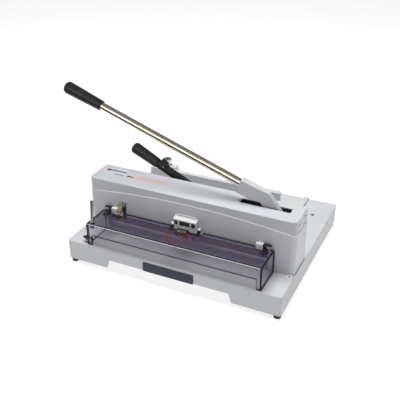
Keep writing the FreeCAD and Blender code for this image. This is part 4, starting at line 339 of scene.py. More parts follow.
def slab(target, outline, thickness, edge, face_material=0, rim_material=0):
    """Flat sheet from a closed outline; its narrow faces may have their own material."""
    part = bmesh.new()
    corners = [part.verts.new(point) for point in outline]
    sheet = part.faces.new(corners)
    made = bmesh.ops.extrude_face_region(part, geom=[sheet])
    moved = [item for item in made["geom"] if isinstance(item, bmesh.types.BMVert)]
    bmesh.ops.translate(part, vec=thickness, verts=moved)
    bmesh.ops.recalc_face_normals(part, faces=part.faces)
    along = Vector(thickness).normalized()
    for face in part.faces:
        flat = abs(face.normal.dot(along)) > 0.5
        face.material_index = face_material if flat else rim_material
    if edge:
        soften(part, edge, 2, SLAB_RIM_ANGLE)
    add_as_is(target, part)


def arc_points(centre, across, up, radius, start, end, steps):
    """Points on an arc in the plane of two directions, angles in degrees."""
    points = []
    for step in range(steps + 1):
        turn = math.radians(start + (end - start) * step / steps)
        points.append(centre + across * radius * math.cos(turn) + up * radius * math.sin(turn))
    return points


def piece(name, mesh, body, materials, replaced=()):
    """Make a finished mesh one piece of the machine, on its body."""
    data = bpy.data.meshes.new(name)
    mesh.to_mesh(data)
    mesh.free()
    for material in materials:
        data.materials.append(material)
    data.shade_smooth()
    data.set_sharp_from_angle(angle=SMOOTH_ANGLE)
    item = bpy.data.objects.new(name, data)
    bpy.context.scene.collection.objects.link(item)
    even = item.modifiers.new("even_shading", "WEIGHTED_NORMAL")
    even.keep_sharp = True
    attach(item, body)
    if replaced:
        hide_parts(*replaced)
    return item


def node_slot(node):
    """The record's material slot of a CAD node."""
    for part in frame["record"]["subparts"]:
        if part["node"] == node:
            return part["material_slot"]
    raise ValueError(node)


def node_body(node):
    """The body that a CAD node rides on."""
    for body, members in frame["record"]["behaviour"]["bodies"].items():
        if node in members:
            return body
    raise ValueError(node)


def eased(node, width, segments=2):
    """The frame's own shape with every hard edge rounded, as castings and sheets have."""
    part = bmesh.new()
    part.from_mesh(frame["nodes"][node].data)
    bmesh.ops.remove_doubles(part, verts=part.verts, dist=MERGE_GAP)
    bmesh.ops.dissolve_limit(part, angle_limit=FLAT_ANGLE, verts=part.verts, edges=part.edges,
                             use_dissolve_boundaries=False)
    soften(part, width, segments)
    slot = node_slot(node)
    return piece(node + "_eased", part, node_body(node), [MATERIALS[slot]], [node])


# ---------------------------------------------------------------- stage
def build_camera():
    """Camera at the height and bearing of a person standing at the machine's right."""
    data = bpy.data.cameras.new("view")
    data.lens = CAMERA_LENS
    camera = bpy.data.objects.new("view", data)
    camera.location = CAMERA_PLACE
    camera.rotation_euler = (math.pi / 2 - CAMERA_DOWN, 0, CAMERA_LEFT)
    bpy.context.scene.collection.objects.link(camera)
    bpy.context.scene.camera = camera


def area_light(name, place, aim, size, power):
    """Soft square light that points at a place and isn't mirrored in bright metal."""
    data = bpy.data.lights.new(name, "AREA")
    data.size = size
    data.energy = power
    light = bpy.data.objects.new(name, data)
    light.location = place
    light.rotation_euler = (Vector(aim) - Vector(place)).to_track_quat("-Z", "Y").to_euler()
    light.visible_glossy = False
    bpy.context.scene.collection.objects.link(light)


def build_sky():
    """Even dim sky, so that the top light shapes the machine."""
    sky = bpy.data.worlds.new("studio")
    bpy.context.scene.world = sky
    sky.use_nodes = True
    shade = sky.node_tree.nodes["Background"]
    shade.inputs["Color"].default_value = SKY_COLOUR + (1.0,)


def stage_piece(name, mesh, material):
    """Object of the studio, not of the machine."""
    data = bpy.data.meshes.new(name)
    mesh.to_mesh(data)
    mesh.free()
    data.materials.append(material)
    item = bpy.data.objects.new(name, data)
    bpy.context.scene.collection.objects.link(item)
    return item


def build_floor():
    """Pale floor that glows a little, which keeps its shadows faint."""
    mesh = bmesh.new()
    bmesh.ops.create_grid(mesh, x_segments=1, y_segments=1, size=FLOOR_SIZE / 2)
    white = surface("floor_white", FLOOR_COLOUR, 0.9, 0.01, 3.0, 200.0, 0.00001,
                    specular=0.0)
    shader = white.node_tree.nodes["Principled BSDF"]
    shader.inputs["Emission Color"].default_value = (1.0, 1.0, 1.0, 1.0)
    shader.inputs["Emission Strength"].default_value = FLOOR_GLOW
    stage_piece("floor", mesh, white)


def build_card(name, low, high, colour, glow):
    """Card in front of the machine, seen only in its bright metal."""
    mesh = bmesh.new()
    block(mesh, low, high)
    paper = surface(name, colour, 0.9, 0.05, 3.0, 50.0, 0.00001, specular=0.0)
    shader = paper.node_tree.nodes["Principled BSDF"]
    shader.inputs["Emission Color"].default_value = colour + (1.0,)
    shader.inputs["Emission Strength"].default_value = glow
    card = stage_piece(name, mesh, paper)
    card.visible_camera = False
    card.visible_diffuse = False
    card.visible_shadow = False
    card.visible_transmission = False


def build_stage():
    """Camera, sky, light, floor and cards."""
    bpy.context.scene.view_settings.view_transform = "Standard"
    build_camera()
    build_sky()
    build_floor()
    half = CARD_WIDTH / 2
    build_card("dark_card", (-half, -DARK_CARD_FAR, 0.0), (half, -DARK_CARD_NEAR, CARD_T),
               DARK_CARD_COLOUR, 0.0)
    build_card("bright_card", (-half, -BRIGHT_CARD_AWAY, BRIGHT_CARD_FOOT),
               (half, -BRIGHT_CARD_AWAY + CARD_T, BRIGHT_CARD_TOP), BRIGHT_CARD_COLOUR,
               BRIGHT_CARD_GLOW)
    area_light("top_light", TOP_LIGHT_PLACE, (0, 0, 0), TOP_LIGHT_SIZE, TOP_LIGHT_POWER)


# ---------------------------------------------------------------- carried-over nodes
def paint_nodes():
    """Give every CAD node the finish of its own slot."""
    for name, item in frame["nodes"].items():
        item.data.materials.clear()
        item.data.materials.append(MATERIALS[node_slot(name)])


EASED_NODES = {
    "base_casting": 0.9 * MM,
    "housing_body": 0.5 * MM,
    "top_cover": 0.7 * MM,
    "rear_cover": 0.4 * MM,
    "lever_arm": 1.3 * MM,
    "back_gauge": 0.7 * MM,
    "gauge_slider": 0.9 * MM,
    "guide_rail": 0.6 * MM,
    "side_guide_right": 0.6 * MM,
    "clamp_lever": 0.7 * MM,
    "clamp_nut": 0.5 * MM,
    "clamp_trigger": 0.7 * MM,
    "front_plate": 0.5 * MM,
    "cover_ear_left": 0.4 * MM,
    "cover_ear_right": 0.4 * MM,
    "blade_carrier": 0.4 * MM,
    "clamp_beam": 0.6 * MM,
    "left_frame": 0.4 * MM,
    "right_frame": 0.4 * MM,
}


# ---------------------------------------------------------------- housing
LEDGE_RISE = 19.5 * MM
LEDGE_STEP = 1.5 * MM
BEAD_H = 2.2 * MM
HOUSING_CORNER = 14.0 * MM
BEAD_SINK = 0.1 * MM
ARCH_STEPS = 48
CORNER_STEPS = 12
# Near-white colour of the bead: a painted highlight for the light caught by the ledge's step.
LEDGE_HIGHLIGHT = surface("painted_ledge_highlight", (0.90, 0.91, 0.95), 0.35, 0.02, 30.0, 700.0, 0.00002)


def build_ledge_highlight_strip():
    """Pale bead on the step between the housing and its top, arched along the front: a painted highlight where the
    upward-facing step catches the light.
    """
    low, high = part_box("housing_body")
    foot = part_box("top_cover")[0].z
    half = (high.x - low.x) / 2
    centre_x = (low.x + high.x) / 2
    radius = (half * half + LEDGE_RISE * LEDGE_RISE) / (2 * LEDGE_RISE)
    centre = Vector((centre_x, low.y + BEAD_SINK, foot + LEDGE_RISE - radius))
    reach = math.degrees(math.asin((half - HOUSING_CORNER) / radius))
    bead = bmesh.new()
    upper = arc_points(centre, X_AXIS, Z_AXIS, radius + BEAD_H, 90 - reach, 90 + reach,
                       ARCH_STEPS)
    lower = arc_points(centre, X_AXIS, Z_AXIS, radius, 90 + reach, 90 - reach, ARCH_STEPS)
    slab(bead, upper + lower, Y_AXIS * LEDGE_STEP, 0.0)
    for side in (-1, 1):
        edge = high.x if side > 0 else low.x
        turn = Vector((edge - side * HOUSING_CORNER, low.y + HOUSING_CORNER, foot))
        outward = X_AXIS * side
        outer = arc_points(turn, -Y_AXIS, outward, HOUSING_CORNER - BEAD_SINK, 0, 90, CORNER_STEPS)
        inner = arc_points(turn, -Y_AXIS, outward, HOUSING_CORNER - LEDGE_STEP, 90, 0,
                           CORNER_STEPS)
        back = Y_AXIS * (high.y - HOUSING_CORNER - turn.y)
        slab(bead, outer + [outer[-1] + back, inner[0] + back] + inner, Z_AXIS * BEAD_H, 0.0)
    piece("painted_ledge_highlight", bead, "base", [LEDGE_HIGHLIGHT])


# ---------------------------------------------------------------- main lever
LEVER_REST = math.radians(19.4)
CLAMP_REST = math.radians(26.0)
TUBE_ABOVE_PIVOT = 56.7 * MM
TUBE_START = 118.0 * MM
TUBE_RADIUS = 10.35 * MM
GRIP_START = 552.0 * MM
GRIP_LENGTH = 113.0 * MM
CLAMP_GRIP_START = 166.0 * MM
CLAMP_GRIP_LENGTH = 82.0 * MM
TUBE_IN_GRIP = 20.0 * MM
GRIP_NIP = 0.3 * MM
GRIP_RADII = (13.3 * MM, 16.35 * MM)
CLAMP_GRIP_BORE = 8.0 * MM
CLAMP_GRIP_RADII = (13.5 * MM, 15.5 * MM)
GRIP_COLLAR = ((0.0, -1.1), (0.5, -0.45), (1.4, 0.0), (4.0, 0.1), (4.8, -0.5), (5.8, -0.5),
               (6.6, 0.25))
GRIP_TAPER = ((0.35, 0.42), (0.62, 0.74))
GRIP_NOSE = ((12.0, 0.0), (7.0, 0.1), (4.6, 0.9), (1.6, 3.3), (0.5, 4.6), (0.0, 6.2), (0.4, 8.0))


def lever_line(pivot, rest, above):
    """Start and direction of a line beside a lever's own line."""
    along = Vector((-math.cos(rest), 0, math.sin(rest)))
    square = Vector((math.sin(rest), 0, math.cos(rest)))
    return pivot + square * above, along


def grip_profile(start, length, bore, near, far):
    """Half outline of a moulded grip: rolled collar, slow taper, chamfered nose."""
    end = start + length
    collar = [(start + along, near + out) for along, out in in_mm(GRIP_COLLAR)]
    taper = [(start + length * along, near + (far - near) * out) for along, out in GRIP_TAPER]
    nose = [(end - back, far - cut) for back, cut in in_mm(GRIP_NOSE)]
    return [(start, bore)] + collar + taper + nose + [(nose[-1][0], 0.0)]


def build_lever():
    """Plated tube with its black grip."""
    start, along = lever_line(joint_place("lever_swing"), LEVER_REST, TUBE_ABOVE_PIVOT)
    tube = bmesh.new()
    end = GRIP_START + TUBE_IN_GRIP
    turned(tube, start, along, [(TUBE_START, 0.0), (TUBE_START, TUBE_RADIUS), (end, TUBE_RADIUS),
                                (end, 0.0)], steps=FINE_ROUND_STEPS)
    piece("plated_tube", tube, "main_lever", [MATERIALS["tube_nickel"]],
          ["lever_tube"])
    grip = bmesh.new()
    profile = grip_profile(GRIP_START, GRIP_LENGTH, TUBE_RADIUS - GRIP_NIP, *GRIP_RADII)
    turned(grip, start, along, profile, steps=FINE_ROUND_STEPS)
    piece("moulded_grip", grip, "main_lever", [MATERIALS["grip_black"]],
          ["lever_grip"])


def build_clamp_grip():
    """Black grip of the clamp lever."""
    start, along = lever_line(joint_place("clamp_swing"), CLAMP_REST, 0.0)
    grip = bmesh.new()
    turned(grip, start, along, grip_profile(CLAMP_GRIP_START, CLAMP_GRIP_LENGTH, CLAMP_GRIP_BORE,
                                            *CLAMP_GRIP_RADII))
    piece("moulded_clamp_grip", grip, "clamp_handle", [MATERIALS["grip_black"]],
          ["clamp_grip"])


# ---------------------------------------------------------------- safety cover
SHEET = 5.0 * MM
SHEET_EDGE = 0.45 * MM
COLUMN = 14.0 * MM
HAND_GAP = 28.6 * MM
UPPER_ROUND = 6.0 * MM
LOWER_ROUND = 2.5 * MM
SMOKE = [MATERIALS["smoke_acrylic"], EDGE_SMOKE, LIT_SMOKE_COPY, PAINTED_EDGE_HIGHLIGHT]
SMOKE_TOP, SMOKE_RIM, SMOKE_LIT, SMOKE_PAINTED_HIGHLIGHT = range(4)
EDGE_HIGHLIGHT_H = 1.5 * MM
EDGE_HIGHLIGHT_OUT = 0.25 * MM
EAR_LAP = 5.0 * MM
NOTCH_GAP = 2.0 * MM
HINGE_NOTCH = 12.0 * MM
KNUCKLE_SPAN = 13.0 * MM
TOE_LEFT = 19.0 * MM
TOE_RIGHT = 4.0 * MM
TOE_FRONT = 7.0 * MM


def side_sheet(target, x, low, high):
    """One upright side of the cover, with rounded corners."""
    outline = []
    for y, z, radius, start in ((high.y, high.z, UPPER_ROUND, 0), (low.y, high.z, UPPER_ROUND, 90),
                                (low.y, low.z, LOWER_ROUND, 180),
                                (high.y, low.z, LOWER_ROUND, 270)):
        centre = Vector((x, y + (radius if y == low.y else -radius),
                         z + (radius if z == low.z else -radius)))
        outline += arc_points(centre, Y_AXIS, Z_AXIS, radius, start, start + 90,
                              SHEET_ROUND_STEPS)
    slab(target, outline, X_AXIS * SHEET, SHEET_EDGE, SMOKE_LIT, SMOKE_RIM)


def cover_steps():
    """Steps of the rear edge of the cover's top, left to right: x and the depth cut from there."""
    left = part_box("cover_ear_left")
    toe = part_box("interlock_lever")
    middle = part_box("centre_bracket")
    block_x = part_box("hinge_block_right")[0].x
    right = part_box("cover_ear_right")
    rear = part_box("safety_cover")[1].y
    return [(left[0].x + EAR_LAP, HINGE_NOTCH),
            (toe[0].x - TOE_LEFT, rear - toe[0].y + TOE_FRONT), (toe[1].x + TOE_RIGHT, 0.0),
            (middle[0].x - KNUCKLE_SPAN, HINGE_NOTCH), (middle[1].x + KNUCKLE_SPAN, 0.0),
            (block_x - NOTCH_GAP, HINGE_NOTCH), (right[1].x - EAR_LAP, 0.0)]


def top_sheet(target, low, high):
    """The cover's top between its sides, notched round what the wall carries."""
    z = high.z - SHEET
    outline = [Vector((low.x + SHEET, high.y, z)), Vector((low.x + SHEET, low.y + SHEET, z)),
               Vector((high.x - SHEET, low.y + SHEET, z)), Vector((high.x - SHEET, high.y, z))]
    steps = cover_steps()
    for index in reversed(range(len(steps))):
        x, depth = steps[index]
        before = steps[index - 1][1] if index else 0.0
        outline += [Vector((x, high.y - depth, z)), Vector((x, high.y - before, z))]
    slab(target, outline, Z_AXIS * SHEET, SHEET_EDGE, SMOKE_TOP, SMOKE_RIM)


def front_sheet(target, low, high, deck):
    """The cover's short front with a column at each end."""
    x0 = low.x + SHEET
    x1 = high.x - SHEET
    y = low.y
    gap_z = deck + HAND_GAP
    inner0 = low.x + COLUMN
    inner1 = high.x - COLUMN
    outline = [Vector((x0, y, low.z)), Vector((inner0, y, low.z)), Vector((inner0, y, gap_z)),
               Vector((inner1, y, gap_z)), Vector((inner1, y, low.z)), Vector((x1, y, low.z)),
               Vector((x1, y, high.z)), Vector((x0, y, high.z))]
    slab(target, outline, Y_AXIS * SHEET, SHEET_EDGE, SMOKE_LIT, SMOKE_RIM)
    # Pale strip along the front sheet's top edge: a painted highlight.
    block(target, (x0, y - EDGE_HIGHLIGHT_OUT, high.z - EDGE_HIGHLIGHT_H), (x1, y + EDGE_HIGHLIGHT_OUT, high.z), 0.0,
          SMOKE_PAINTED_HIGHLIGHT)


def build_cover():
    """Smoked cover, made of four sheets whose narrow edges look dark; the front and sides take a paler copy of the
    smoke than the top, painted light and shade, and the front's top edge carries a painted highlight.
    """
    low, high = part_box("safety_cover")
    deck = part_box("cutting_stick")[1].z
    cover = bmesh.new()
    side_sheet(cover, low.x, low, high)
    side_sheet(cover, high.x - SHEET, low, high)
    top_sheet(cover, low, high)
    front_sheet(cover, low, high, deck)
    piece("smoked_cover", cover, "cover", SMOKE, ["safety_cover"])


SIGN_RADIUS = 30.5 * MM
SIGN_STROKE = 3.6 * MM
SIGN_FROM_FRONT = 41.0 * MM
INK = 0.1 * MM


def build_sign():
    """Plain red ring with a bar, printed on the cover's top."""
    low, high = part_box("safety_cover")
    inner = SIGN_RADIUS - SIGN_STROKE
    middle = (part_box("latch_plate")[0].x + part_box("latch_plate")[1].x) / 2
    centre = Vector((middle, low.y + SIGN_FROM_FRONT, high.z))
    sign = bmesh.new()
    turned(sign, centre, Z_AXIS, [(0.0, inner), (INK, inner), (INK, SIGN_RADIUS),
                                  (0.0, SIGN_RADIUS), (0.0, inner)], steps=FINE_ROUND_STEPS)
    along = Vector((1, 1, 0)).normalized() * inner
    half = Vector((-1, 1, 0)).normalized() * SIGN_STROKE / 2
    slab(sign, [centre + along + half, centre - along + half, centre - along - half,
                centre + along - half], Z_AXIS * INK, 0.0)
    piece("cover_sign", sign, "cover", [SIGN_RED])


# ---------------------------------------------------------------- marks on the top cover
MARKS_FROM_FRONT = 40.0 * MM
MARK_LIFT = 0.02 * MM
MARK_TOP = 0.12 * MM
BARS = ((20, 16, 12, 9, 0), (34, 18, 46, 5, 1), (50, 0, 30, 6, 2), (116, 2, 92, 4.2, 3),
        (116, 12, 92, 4.2, 3))
ARROW_PLACE = (88, 5)
ARROW = ((0, 0), (9, 6), (9, 2.4), (22, 2.4), (22, -2.4), (9, -2.4), (9, -6))


def build_marks():
    """Plain printed bars and an arrow on the top cover, with no lettering."""
    low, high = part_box("top_cover")
    corner = Vector((low.x, low.y + MARKS_FROM_FRONT, high.z + MARK_LIFT))
    depth = Z_AXIS * (MARK_TOP - MARK_LIFT)
    marks = bmesh.new()
    for x, y, width, length, material in BARS:
        start = corner + Vector((x, y, 0)) * MM
        block(marks, start, start + Vector((width, length, 0)) * MM + depth, 0.0, material)
    tip = corner + Vector(ARROW_PLACE + (0,)) * MM
    slab(marks, [tip + Vector(point + (0,)) * MM for point in ARROW], depth, 0.0)
    piece("printed_marks", marks, "base",
          [SIGN_RED, MARK_BLUE, MARK_GOLD, MARK_PALE_RED])


# ---------------------------------------------------------------- screws
SCREW_DOME = ((0, 0), (0, 1), (0.35, 1), (0.7, 0.86), (0.93, 0.55), (1, 0.25), (1, 0))
RECESS_REACH = 0.5
RECESS_HALF = 0.11
RECESS_DEPTH = 0.25 * MM
RECESS_LIFT = 0.02 * MM
SCREW_TOP_BAND = 0.1 * MM
SCREWS_APART = 14.0 * MM
CAP_STEPS = 36
CAP_PROFILE = ((0.0, 3.4), (0.0, 8.2), (1.0, 8.2), (1.9, 7.2), (2.0, 4.6), (0.6, 3.6), (0.0, 3.4))
CAPPED_SCREW = (3.4 * MM, 1.5 * MM)
PLAIN_SCREW = (5.0 * MM, 1.9 * MM)


def screw_head(target, place, radius, height):
    """Domed upright screw head with a cross recess drawn as a black cross laid into the dome, painted shade rather
    than a hollow; its seat at place.
    """
    turned(target, place, Z_AXIS, [(along * height, out * radius) for along, out in SCREW_DOME],
           0, SMALL_ROUND_STEPS)
    side = Z_AXIS.orthogonal().normalized()
    other = Z_AXIS.cross(side)
    top = place + Z_AXIS * (height + RECESS_LIFT)
    # The recess is two black bars, not a cut: painted shade in the cross.
    for first, second in ((side, other), (other, side)):
        reach = first * radius * RECESS_REACH
        half = second * radius * RECESS_HALF
        slab(target, [top + reach + half, top - reach + half, top - reach - half,
                      top + reach - half], -Z_AXIS * RECESS_DEPTH, 0.0, 1, 1)


def screw_groups(node):
    """Top points of each screw of a node that holds several."""
    points = [vertex.co for vertex in frame["nodes"][node].data.vertices]
    top = max(point.z for point in points)
    groups = []
    for point in points:
        if point.z < top - SCREW_TOP_BAND:
            continue
        near = [group for group in groups if (group[0] - point).length < SCREWS_APART]
        if near:
            near[0].append(point.copy())
        else:
            groups.append([point.copy()])
    return groups


def build_table_screws():
    """Screws on the table; the front one sits in a white cap."""
    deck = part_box("cutting_stick")[1].z
    screws = bmesh.new()
    for group in screw_groups("table_screws"):
        x = (min(point.x for point in group) + max(point.x for point in group)) / 2
        y = (min(point.y for point in group) + max(point.y for point in group)) / 2
        place = Vector((x, y, deck))
        if y < 0:
            turned(screws, place, Z_AXIS, in_mm(CAP_PROFILE), 2, CAP_STEPS)
            screw_head(screws, place, *CAPPED_SCREW)
        else:
            screw_head(screws, place, *PLAIN_SCREW)
    piece("table_screw_heads", screws, "base",
          [MATERIALS["screw_zinc"], FLAT_BLACK_AND_SHADE, MATERIALS["nylon_white"]], ["table_screws"])


# ---------------------------------------------------------------- hinge line
BRACKET_INSET = 4.5 * MM
BRACKET_BACK_T = 2.0 * MM
FLANGE_D = 4.2 * MM
FLANGE_H = 3.0 * MM
ROOF_DROP = 9.0 * MM
ROOF_T = 1.6 * MM
ROOF_START = 4.0 * MM
FRAME_SET_BACK = 2.6 * MM
FRAME_T = 2.0 * MM
FRAME_FOOT = 7.0 * MM
BROW_H = 4.0 * MM
SILL = (1.2 * MM, 1.4 * MM)
WINDOW_BARS = ((0.0, 0.035), (0.17, 0.225), (0.70, 0.755), (0.93, 1.0))
CHEEK_T = 2.0 * MM
CHEEK_DROP = 1.0 * MM
SHADE_INSET = 1.0 * MM
SHADE_DROP = 0.4 * MM
SHADE_T = 0.8 * MM


def build_centre_bracket():
    """Bright bracket: flanged back, sloping roof and a front frame with three windows, made dark by a black sheet
    of painted shade behind them.
    """
    low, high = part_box("centre_bracket")
    width = high.x - low.x
    x0 = low.x + BRACKET_INSET
    x1 = high.x - BRACKET_INSET
    roof_front = high.z - ROOF_DROP
    bracket = bmesh.new()
    block(bracket, (x0, high.y - BRACKET_BACK_T, low.z), (x1, high.y, high.z), THIN_EDGE)
    block(bracket, (x0, high.y - FLANGE_D, high.z - FLANGE_H), (x1, high.y, high.z), FULL_EDGE)
    roof_rear = high.z - ROOF_START
    edge = [Vector((low.x, high.y - ROOF_T, roof_rear)),
            Vector((low.x, high.y - ROOF_T, roof_rear - ROOF_T)),
            Vector((low.x, low.y + ROOF_T, roof_front - ROOF_T)),
            Vector((low.x, low.y, roof_front))]
    slab(bracket, edge, X_AXIS * width, FINE_EDGE)
    front = low.y + FRAME_SET_BACK
    rear = front + FRAME_T
    foot = low.z + FRAME_FOOT
    block(bracket, (low.x, low.y, roof_front - BROW_H), (high.x, rear, roof_front), SMALL_EDGE)
    block(bracket, (low.x, front, foot - SILL[0]), (high.x, rear, foot + SILL[1]), SMALL_EDGE)
    for start, end in WINDOW_BARS:
        block(bracket, (low.x + width * start, front, foot),
              (low.x + width * end, rear, roof_front), THIN_EDGE)
    for x in (low.x, high.x - CHEEK_T):
        block(bracket, (x, front, low.z), (x + CHEEK_T, high.y, roof_front - CHEEK_DROP),
              FINE_EDGE)
    # Black sheet just behind the frame: painted shade that fills the windows.
    block(bracket, (low.x + SHADE_INSET, rear, foot - SHADE_INSET),
          (high.x - SHADE_INSET, rear + SHADE_T, roof_front - SHADE_DROP), 0.0, 1)
    piece("hinge_bracket", bracket, "base",
          [MATERIALS["bracket_steel"], MATERIALS["black_steel"]], ["centre_bracket"])


KNUCKLE_GAP = 0.6 * MM
KNUCKLE_R = 4.3 * MM
LEG_INSET = 0.8 * MM
LEG_REAR = 0.6 * MM
PLATE_INSET = 0.4 * MM
PLATE_T = 2.4 * MM
LUG_W = 2.0 * MM
LUG_R = 1.0 * MM
LUG_FOOT = (1.5 * MM, 3.0 * MM)
LUG_TIP = (3.5 * MM, 6.0 * MM)


def build_knuckles():
    """White knuckles beside the centre bracket, on black feet that are painted shade for the dark line under them,
    and with a turned-up lug.
    """
    low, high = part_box("centre_bushings")
    hinge = joint_place("cover_open")
    bracket_low, bracket_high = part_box("centre_bracket")
    knuckles = bmesh.new()
    for x0, x1 in ((low.x, bracket_low.x - KNUCKLE_GAP), (bracket_high.x + KNUCKLE_GAP, high.x)):
        rod(knuckles, (x0, hinge.y, hinge.z), (x1, hinge.y, hinge.z), KNUCKLE_R, FULL_EDGE)
        # The feet and the plate under them are black: painted shade below the knuckles.
        block(knuckles, (x0 + LEG_INSET, hinge.y - KNUCKLE_R, low.z),
              (x1 - LEG_INSET, hinge.y - LEG_REAR, hinge.z), SMALL_EDGE, 1)
        block(knuckles, (x0 + PLATE_INSET, low.y, low.z),
              (x1 - PLATE_INSET, hinge.y, low.z + PLATE_T), SMALL_EDGE, 1)
    for x in (low.x + LUG_W / 2, high.x - LUG_W / 2):
        rod(knuckles, (x, hinge.y - LUG_FOOT[0], hinge.z + LUG_FOOT[1]),
            (x, hinge.y - LUG_TIP[0], hinge.z + LUG_TIP[1]), LUG_R, THIN_EDGE,
            steps=SMALL_ROUND_STEPS)
    piece("hinge_knuckles", knuckles, "cover",
          [MATERIALS["nylon_white"], MATERIALS["black_steel"]], ["centre_bushings"])


BLOCK_EDGE = 1.3 * MM
BLOCK_EDGE_STEPS = 4
BLOCK_SCREW_SHARES = (0.26, 0.74)
SEAT_R = 2.9 * MM
SEAT_SINK = 0.3 * MM
SEAT_PROUD = 0.15 * MM
HEAD_R = 1.7 * MM
HEAD_PROUD = 0.3 * MM
PIN_CAP_R = 3.6 * MM
PIN_CAP_HALF = 0.25 * MM


def build_hinge_block(node, side):
    """White block with two sunk screws and a cap over the pin."""
    low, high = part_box(node)
    middle = (low + high) / 2
    body = bmesh.new()
    block(body, low, high, BLOCK_EDGE, 0, BLOCK_EDGE_STEPS)
    for share in BLOCK_SCREW_SHARES:
        x = low.x + (high.x - low.x) * share
        rod(body, (x, middle.y, high.z - SEAT_SINK), (x, middle.y, high.z + SEAT_PROUD), SEAT_R,
            HAIR_EDGE, steps=SMALL_ROUND_STEPS)
        rod(body, (x, middle.y, high.z), (x, middle.y, high.z + HEAD_PROUD), HEAD_R,
            HAIR_EDGE, material=1, steps=SMALL_ROUND_STEPS)
    x = low.x if side < 0 else high.x
    rod(body, (x - PIN_CAP_HALF, middle.y, middle.z), (x + PIN_CAP_HALF, middle.y, middle.z),
        PIN_CAP_R, HAIR_EDGE, steps=SMALL_ROUND_STEPS)
    piece(node + "_moulding", body, "base",
          [MATERIALS["nylon_white"], MATERIALS["screw_zinc"]], [node])


STRIKER_T = 1.6 * MM
STRIKER_END = 4.0 * MM
STRIKER_FRONT = 3.0 * MM
STRIKER_REAR = 5.0 * MM
STRIKER_FOOT = 1.2 * MM
STRIKER_TOP = 3.4 * MM


def build_latch():
    """Brass striker bar in a folded black plate on the cover."""
    low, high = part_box("latch_plate")
    latch = bmesh.new()
    block(latch, low, (high.x, high.y, low.z + STRIKER_T), SMALL_EDGE, 1)
    block(latch, (low.x, high.y - STRIKER_T, low.z), high, SOFT_EDGE, 1)
    block(latch, (low.x + STRIKER_END, low.y + STRIKER_FRONT, low.z + STRIKER_FOOT),
          (high.x - STRIKER_END, high.y - STRIKER_REAR, low.z + STRIKER_TOP), SOFT_EDGE)
    piece("striker", latch, "cover",
          [MATERIALS["latch_brass"], MATERIALS["black_steel"]], ["latch_plate"])


# ---------------------------------------------------------------- lift rod, knob, interlock
ROD_LEAN = math.radians(4.0)
ROD_HEADROOM = 0.4 * MM
ROD_FOOT = 1.0 * MM
ROD_RADIUS = 4.3 * MM
ROD_HEAD = ((1.6, 0.0), (0.5, 0.4), (0.0, 1.4))
NUT_CHAMFER = 0.3 * MM
NUT_WIDEST = 0.5 * MM
NUT_SHOULDER = 0.6
NUT_CROWN = 1.4 * MM
UNDER_NUT_H = 9.0 * MM
UNDER_NUT = ((0.0, 0.0), (0.0, 3.0), (3.0, 3.2), (3.1, 5.4), (9.0, 5.6), (9.0, 0.0))


def build_lift_rod():
    """Turned lift rod with a rounded head, clamped by nuts above and below the sheet."""
    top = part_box("cover_lift_rod")[1].z
    nut_low, nut_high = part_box("rod_nut")
    foot = Vector(((nut_low.x + nut_high.x) / 2, (nut_low.y + nut_high.y) / 2, nut_low.z))
    along = Vector((math.sin(ROD_LEAN), 0, math.cos(ROD_LEAN)))
    length = (top - foot.z) / along.z - ROD_HEADROOM
    head = [(length - back, ROD_RADIUS - cut) for back, cut in in_mm(ROD_HEAD)]
    shaft = bmesh.new()
    turned(shaft, foot, along, [(ROD_FOOT, 0.0), (ROD_FOOT, ROD_RADIUS)] + head + [(length, 0.0)],
           steps=PART_ROUND_STEPS)
    piece("turned_rod", shaft, "cover", [MATERIALS["rod_steel"]],
          ["cover_lift_rod"])
    nuts = bmesh.new()
    height = nut_high.z - nut_low.z
    radius = (nut_high.x - nut_low.x) / 2
    turned(nuts, foot, Z_AXIS,
           [(0.0, 0.0), (0.0, radius - NUT_CHAMFER), (NUT_WIDEST, radius),
            (height * NUT_SHOULDER, radius - NUT_CHAMFER), (height, radius - NUT_CROWN),
            (height, 0.0)], steps=PART_ROUND_STEPS)
    under = foot - Z_AXIS * (SHEET + UNDER_NUT_H)
    turned(nuts, under, Z_AXIS, in_mm(UNDER_NUT), steps=PART_ROUND_STEPS)
    piece("rod_foot_nuts", nuts, "cover", [MATERIALS["grip_black"]], ["rod_nut"])


KNOB_TIP = ((0.0, 0.0), (0.0, 1.2), (0.7, 2.2))
KNOB_SWELL = ((0.3, 0.62), (0.5, 0.92), (0.62, 1.0), (0.74, 0.9))
KNOB_NECK = (1.4 * MM, 0.55)
KNOB_FACE = 0.6
KNOB_STEM_R = 2.6 * MM
INNER_NUT_R = 4.6 * MM
INNER_NUT_T = 4.0 * MM
INNER_NUT_EASE = 0.8 * MM


def build_side_knob():
    """Black olive-shaped knob at the cover's left side, with a flat nut inside."""
    low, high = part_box("cover_side_knob")
    start = Vector((low.x, (low.y + high.y) / 2, (low.z + high.z) / 2))
    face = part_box("safety_cover")[0].x - low.x
    radius = (high.y - low.y) / 2
    inner = face + SHEET
    end = inner + INNER_NUT_T
    swell = [(face * along, radius * out) for along, out in KNOB_SWELL]
    neck = [(face - KNOB_NECK[0], radius * KNOB_NECK[1]), (face, radius * KNOB_FACE),
            (face, KNOB_STEM_R), (inner, KNOB_STEM_R)]
    nut = [(inner, INNER_NUT_R), (end - INNER_NUT_EASE, INNER_NUT_R),
           (end, INNER_NUT_R - INNER_NUT_EASE), (end, 0.0)]
    knob = bmesh.new()
    turned(knob, start, X_AXIS, in_mm(KNOB_TIP) + swell + neck + nut, steps=PART_ROUND_STEPS)
    piece("lift_knob", knob, "cover", [MATERIALS["grip_black"]],
          ["cover_side_knob"])


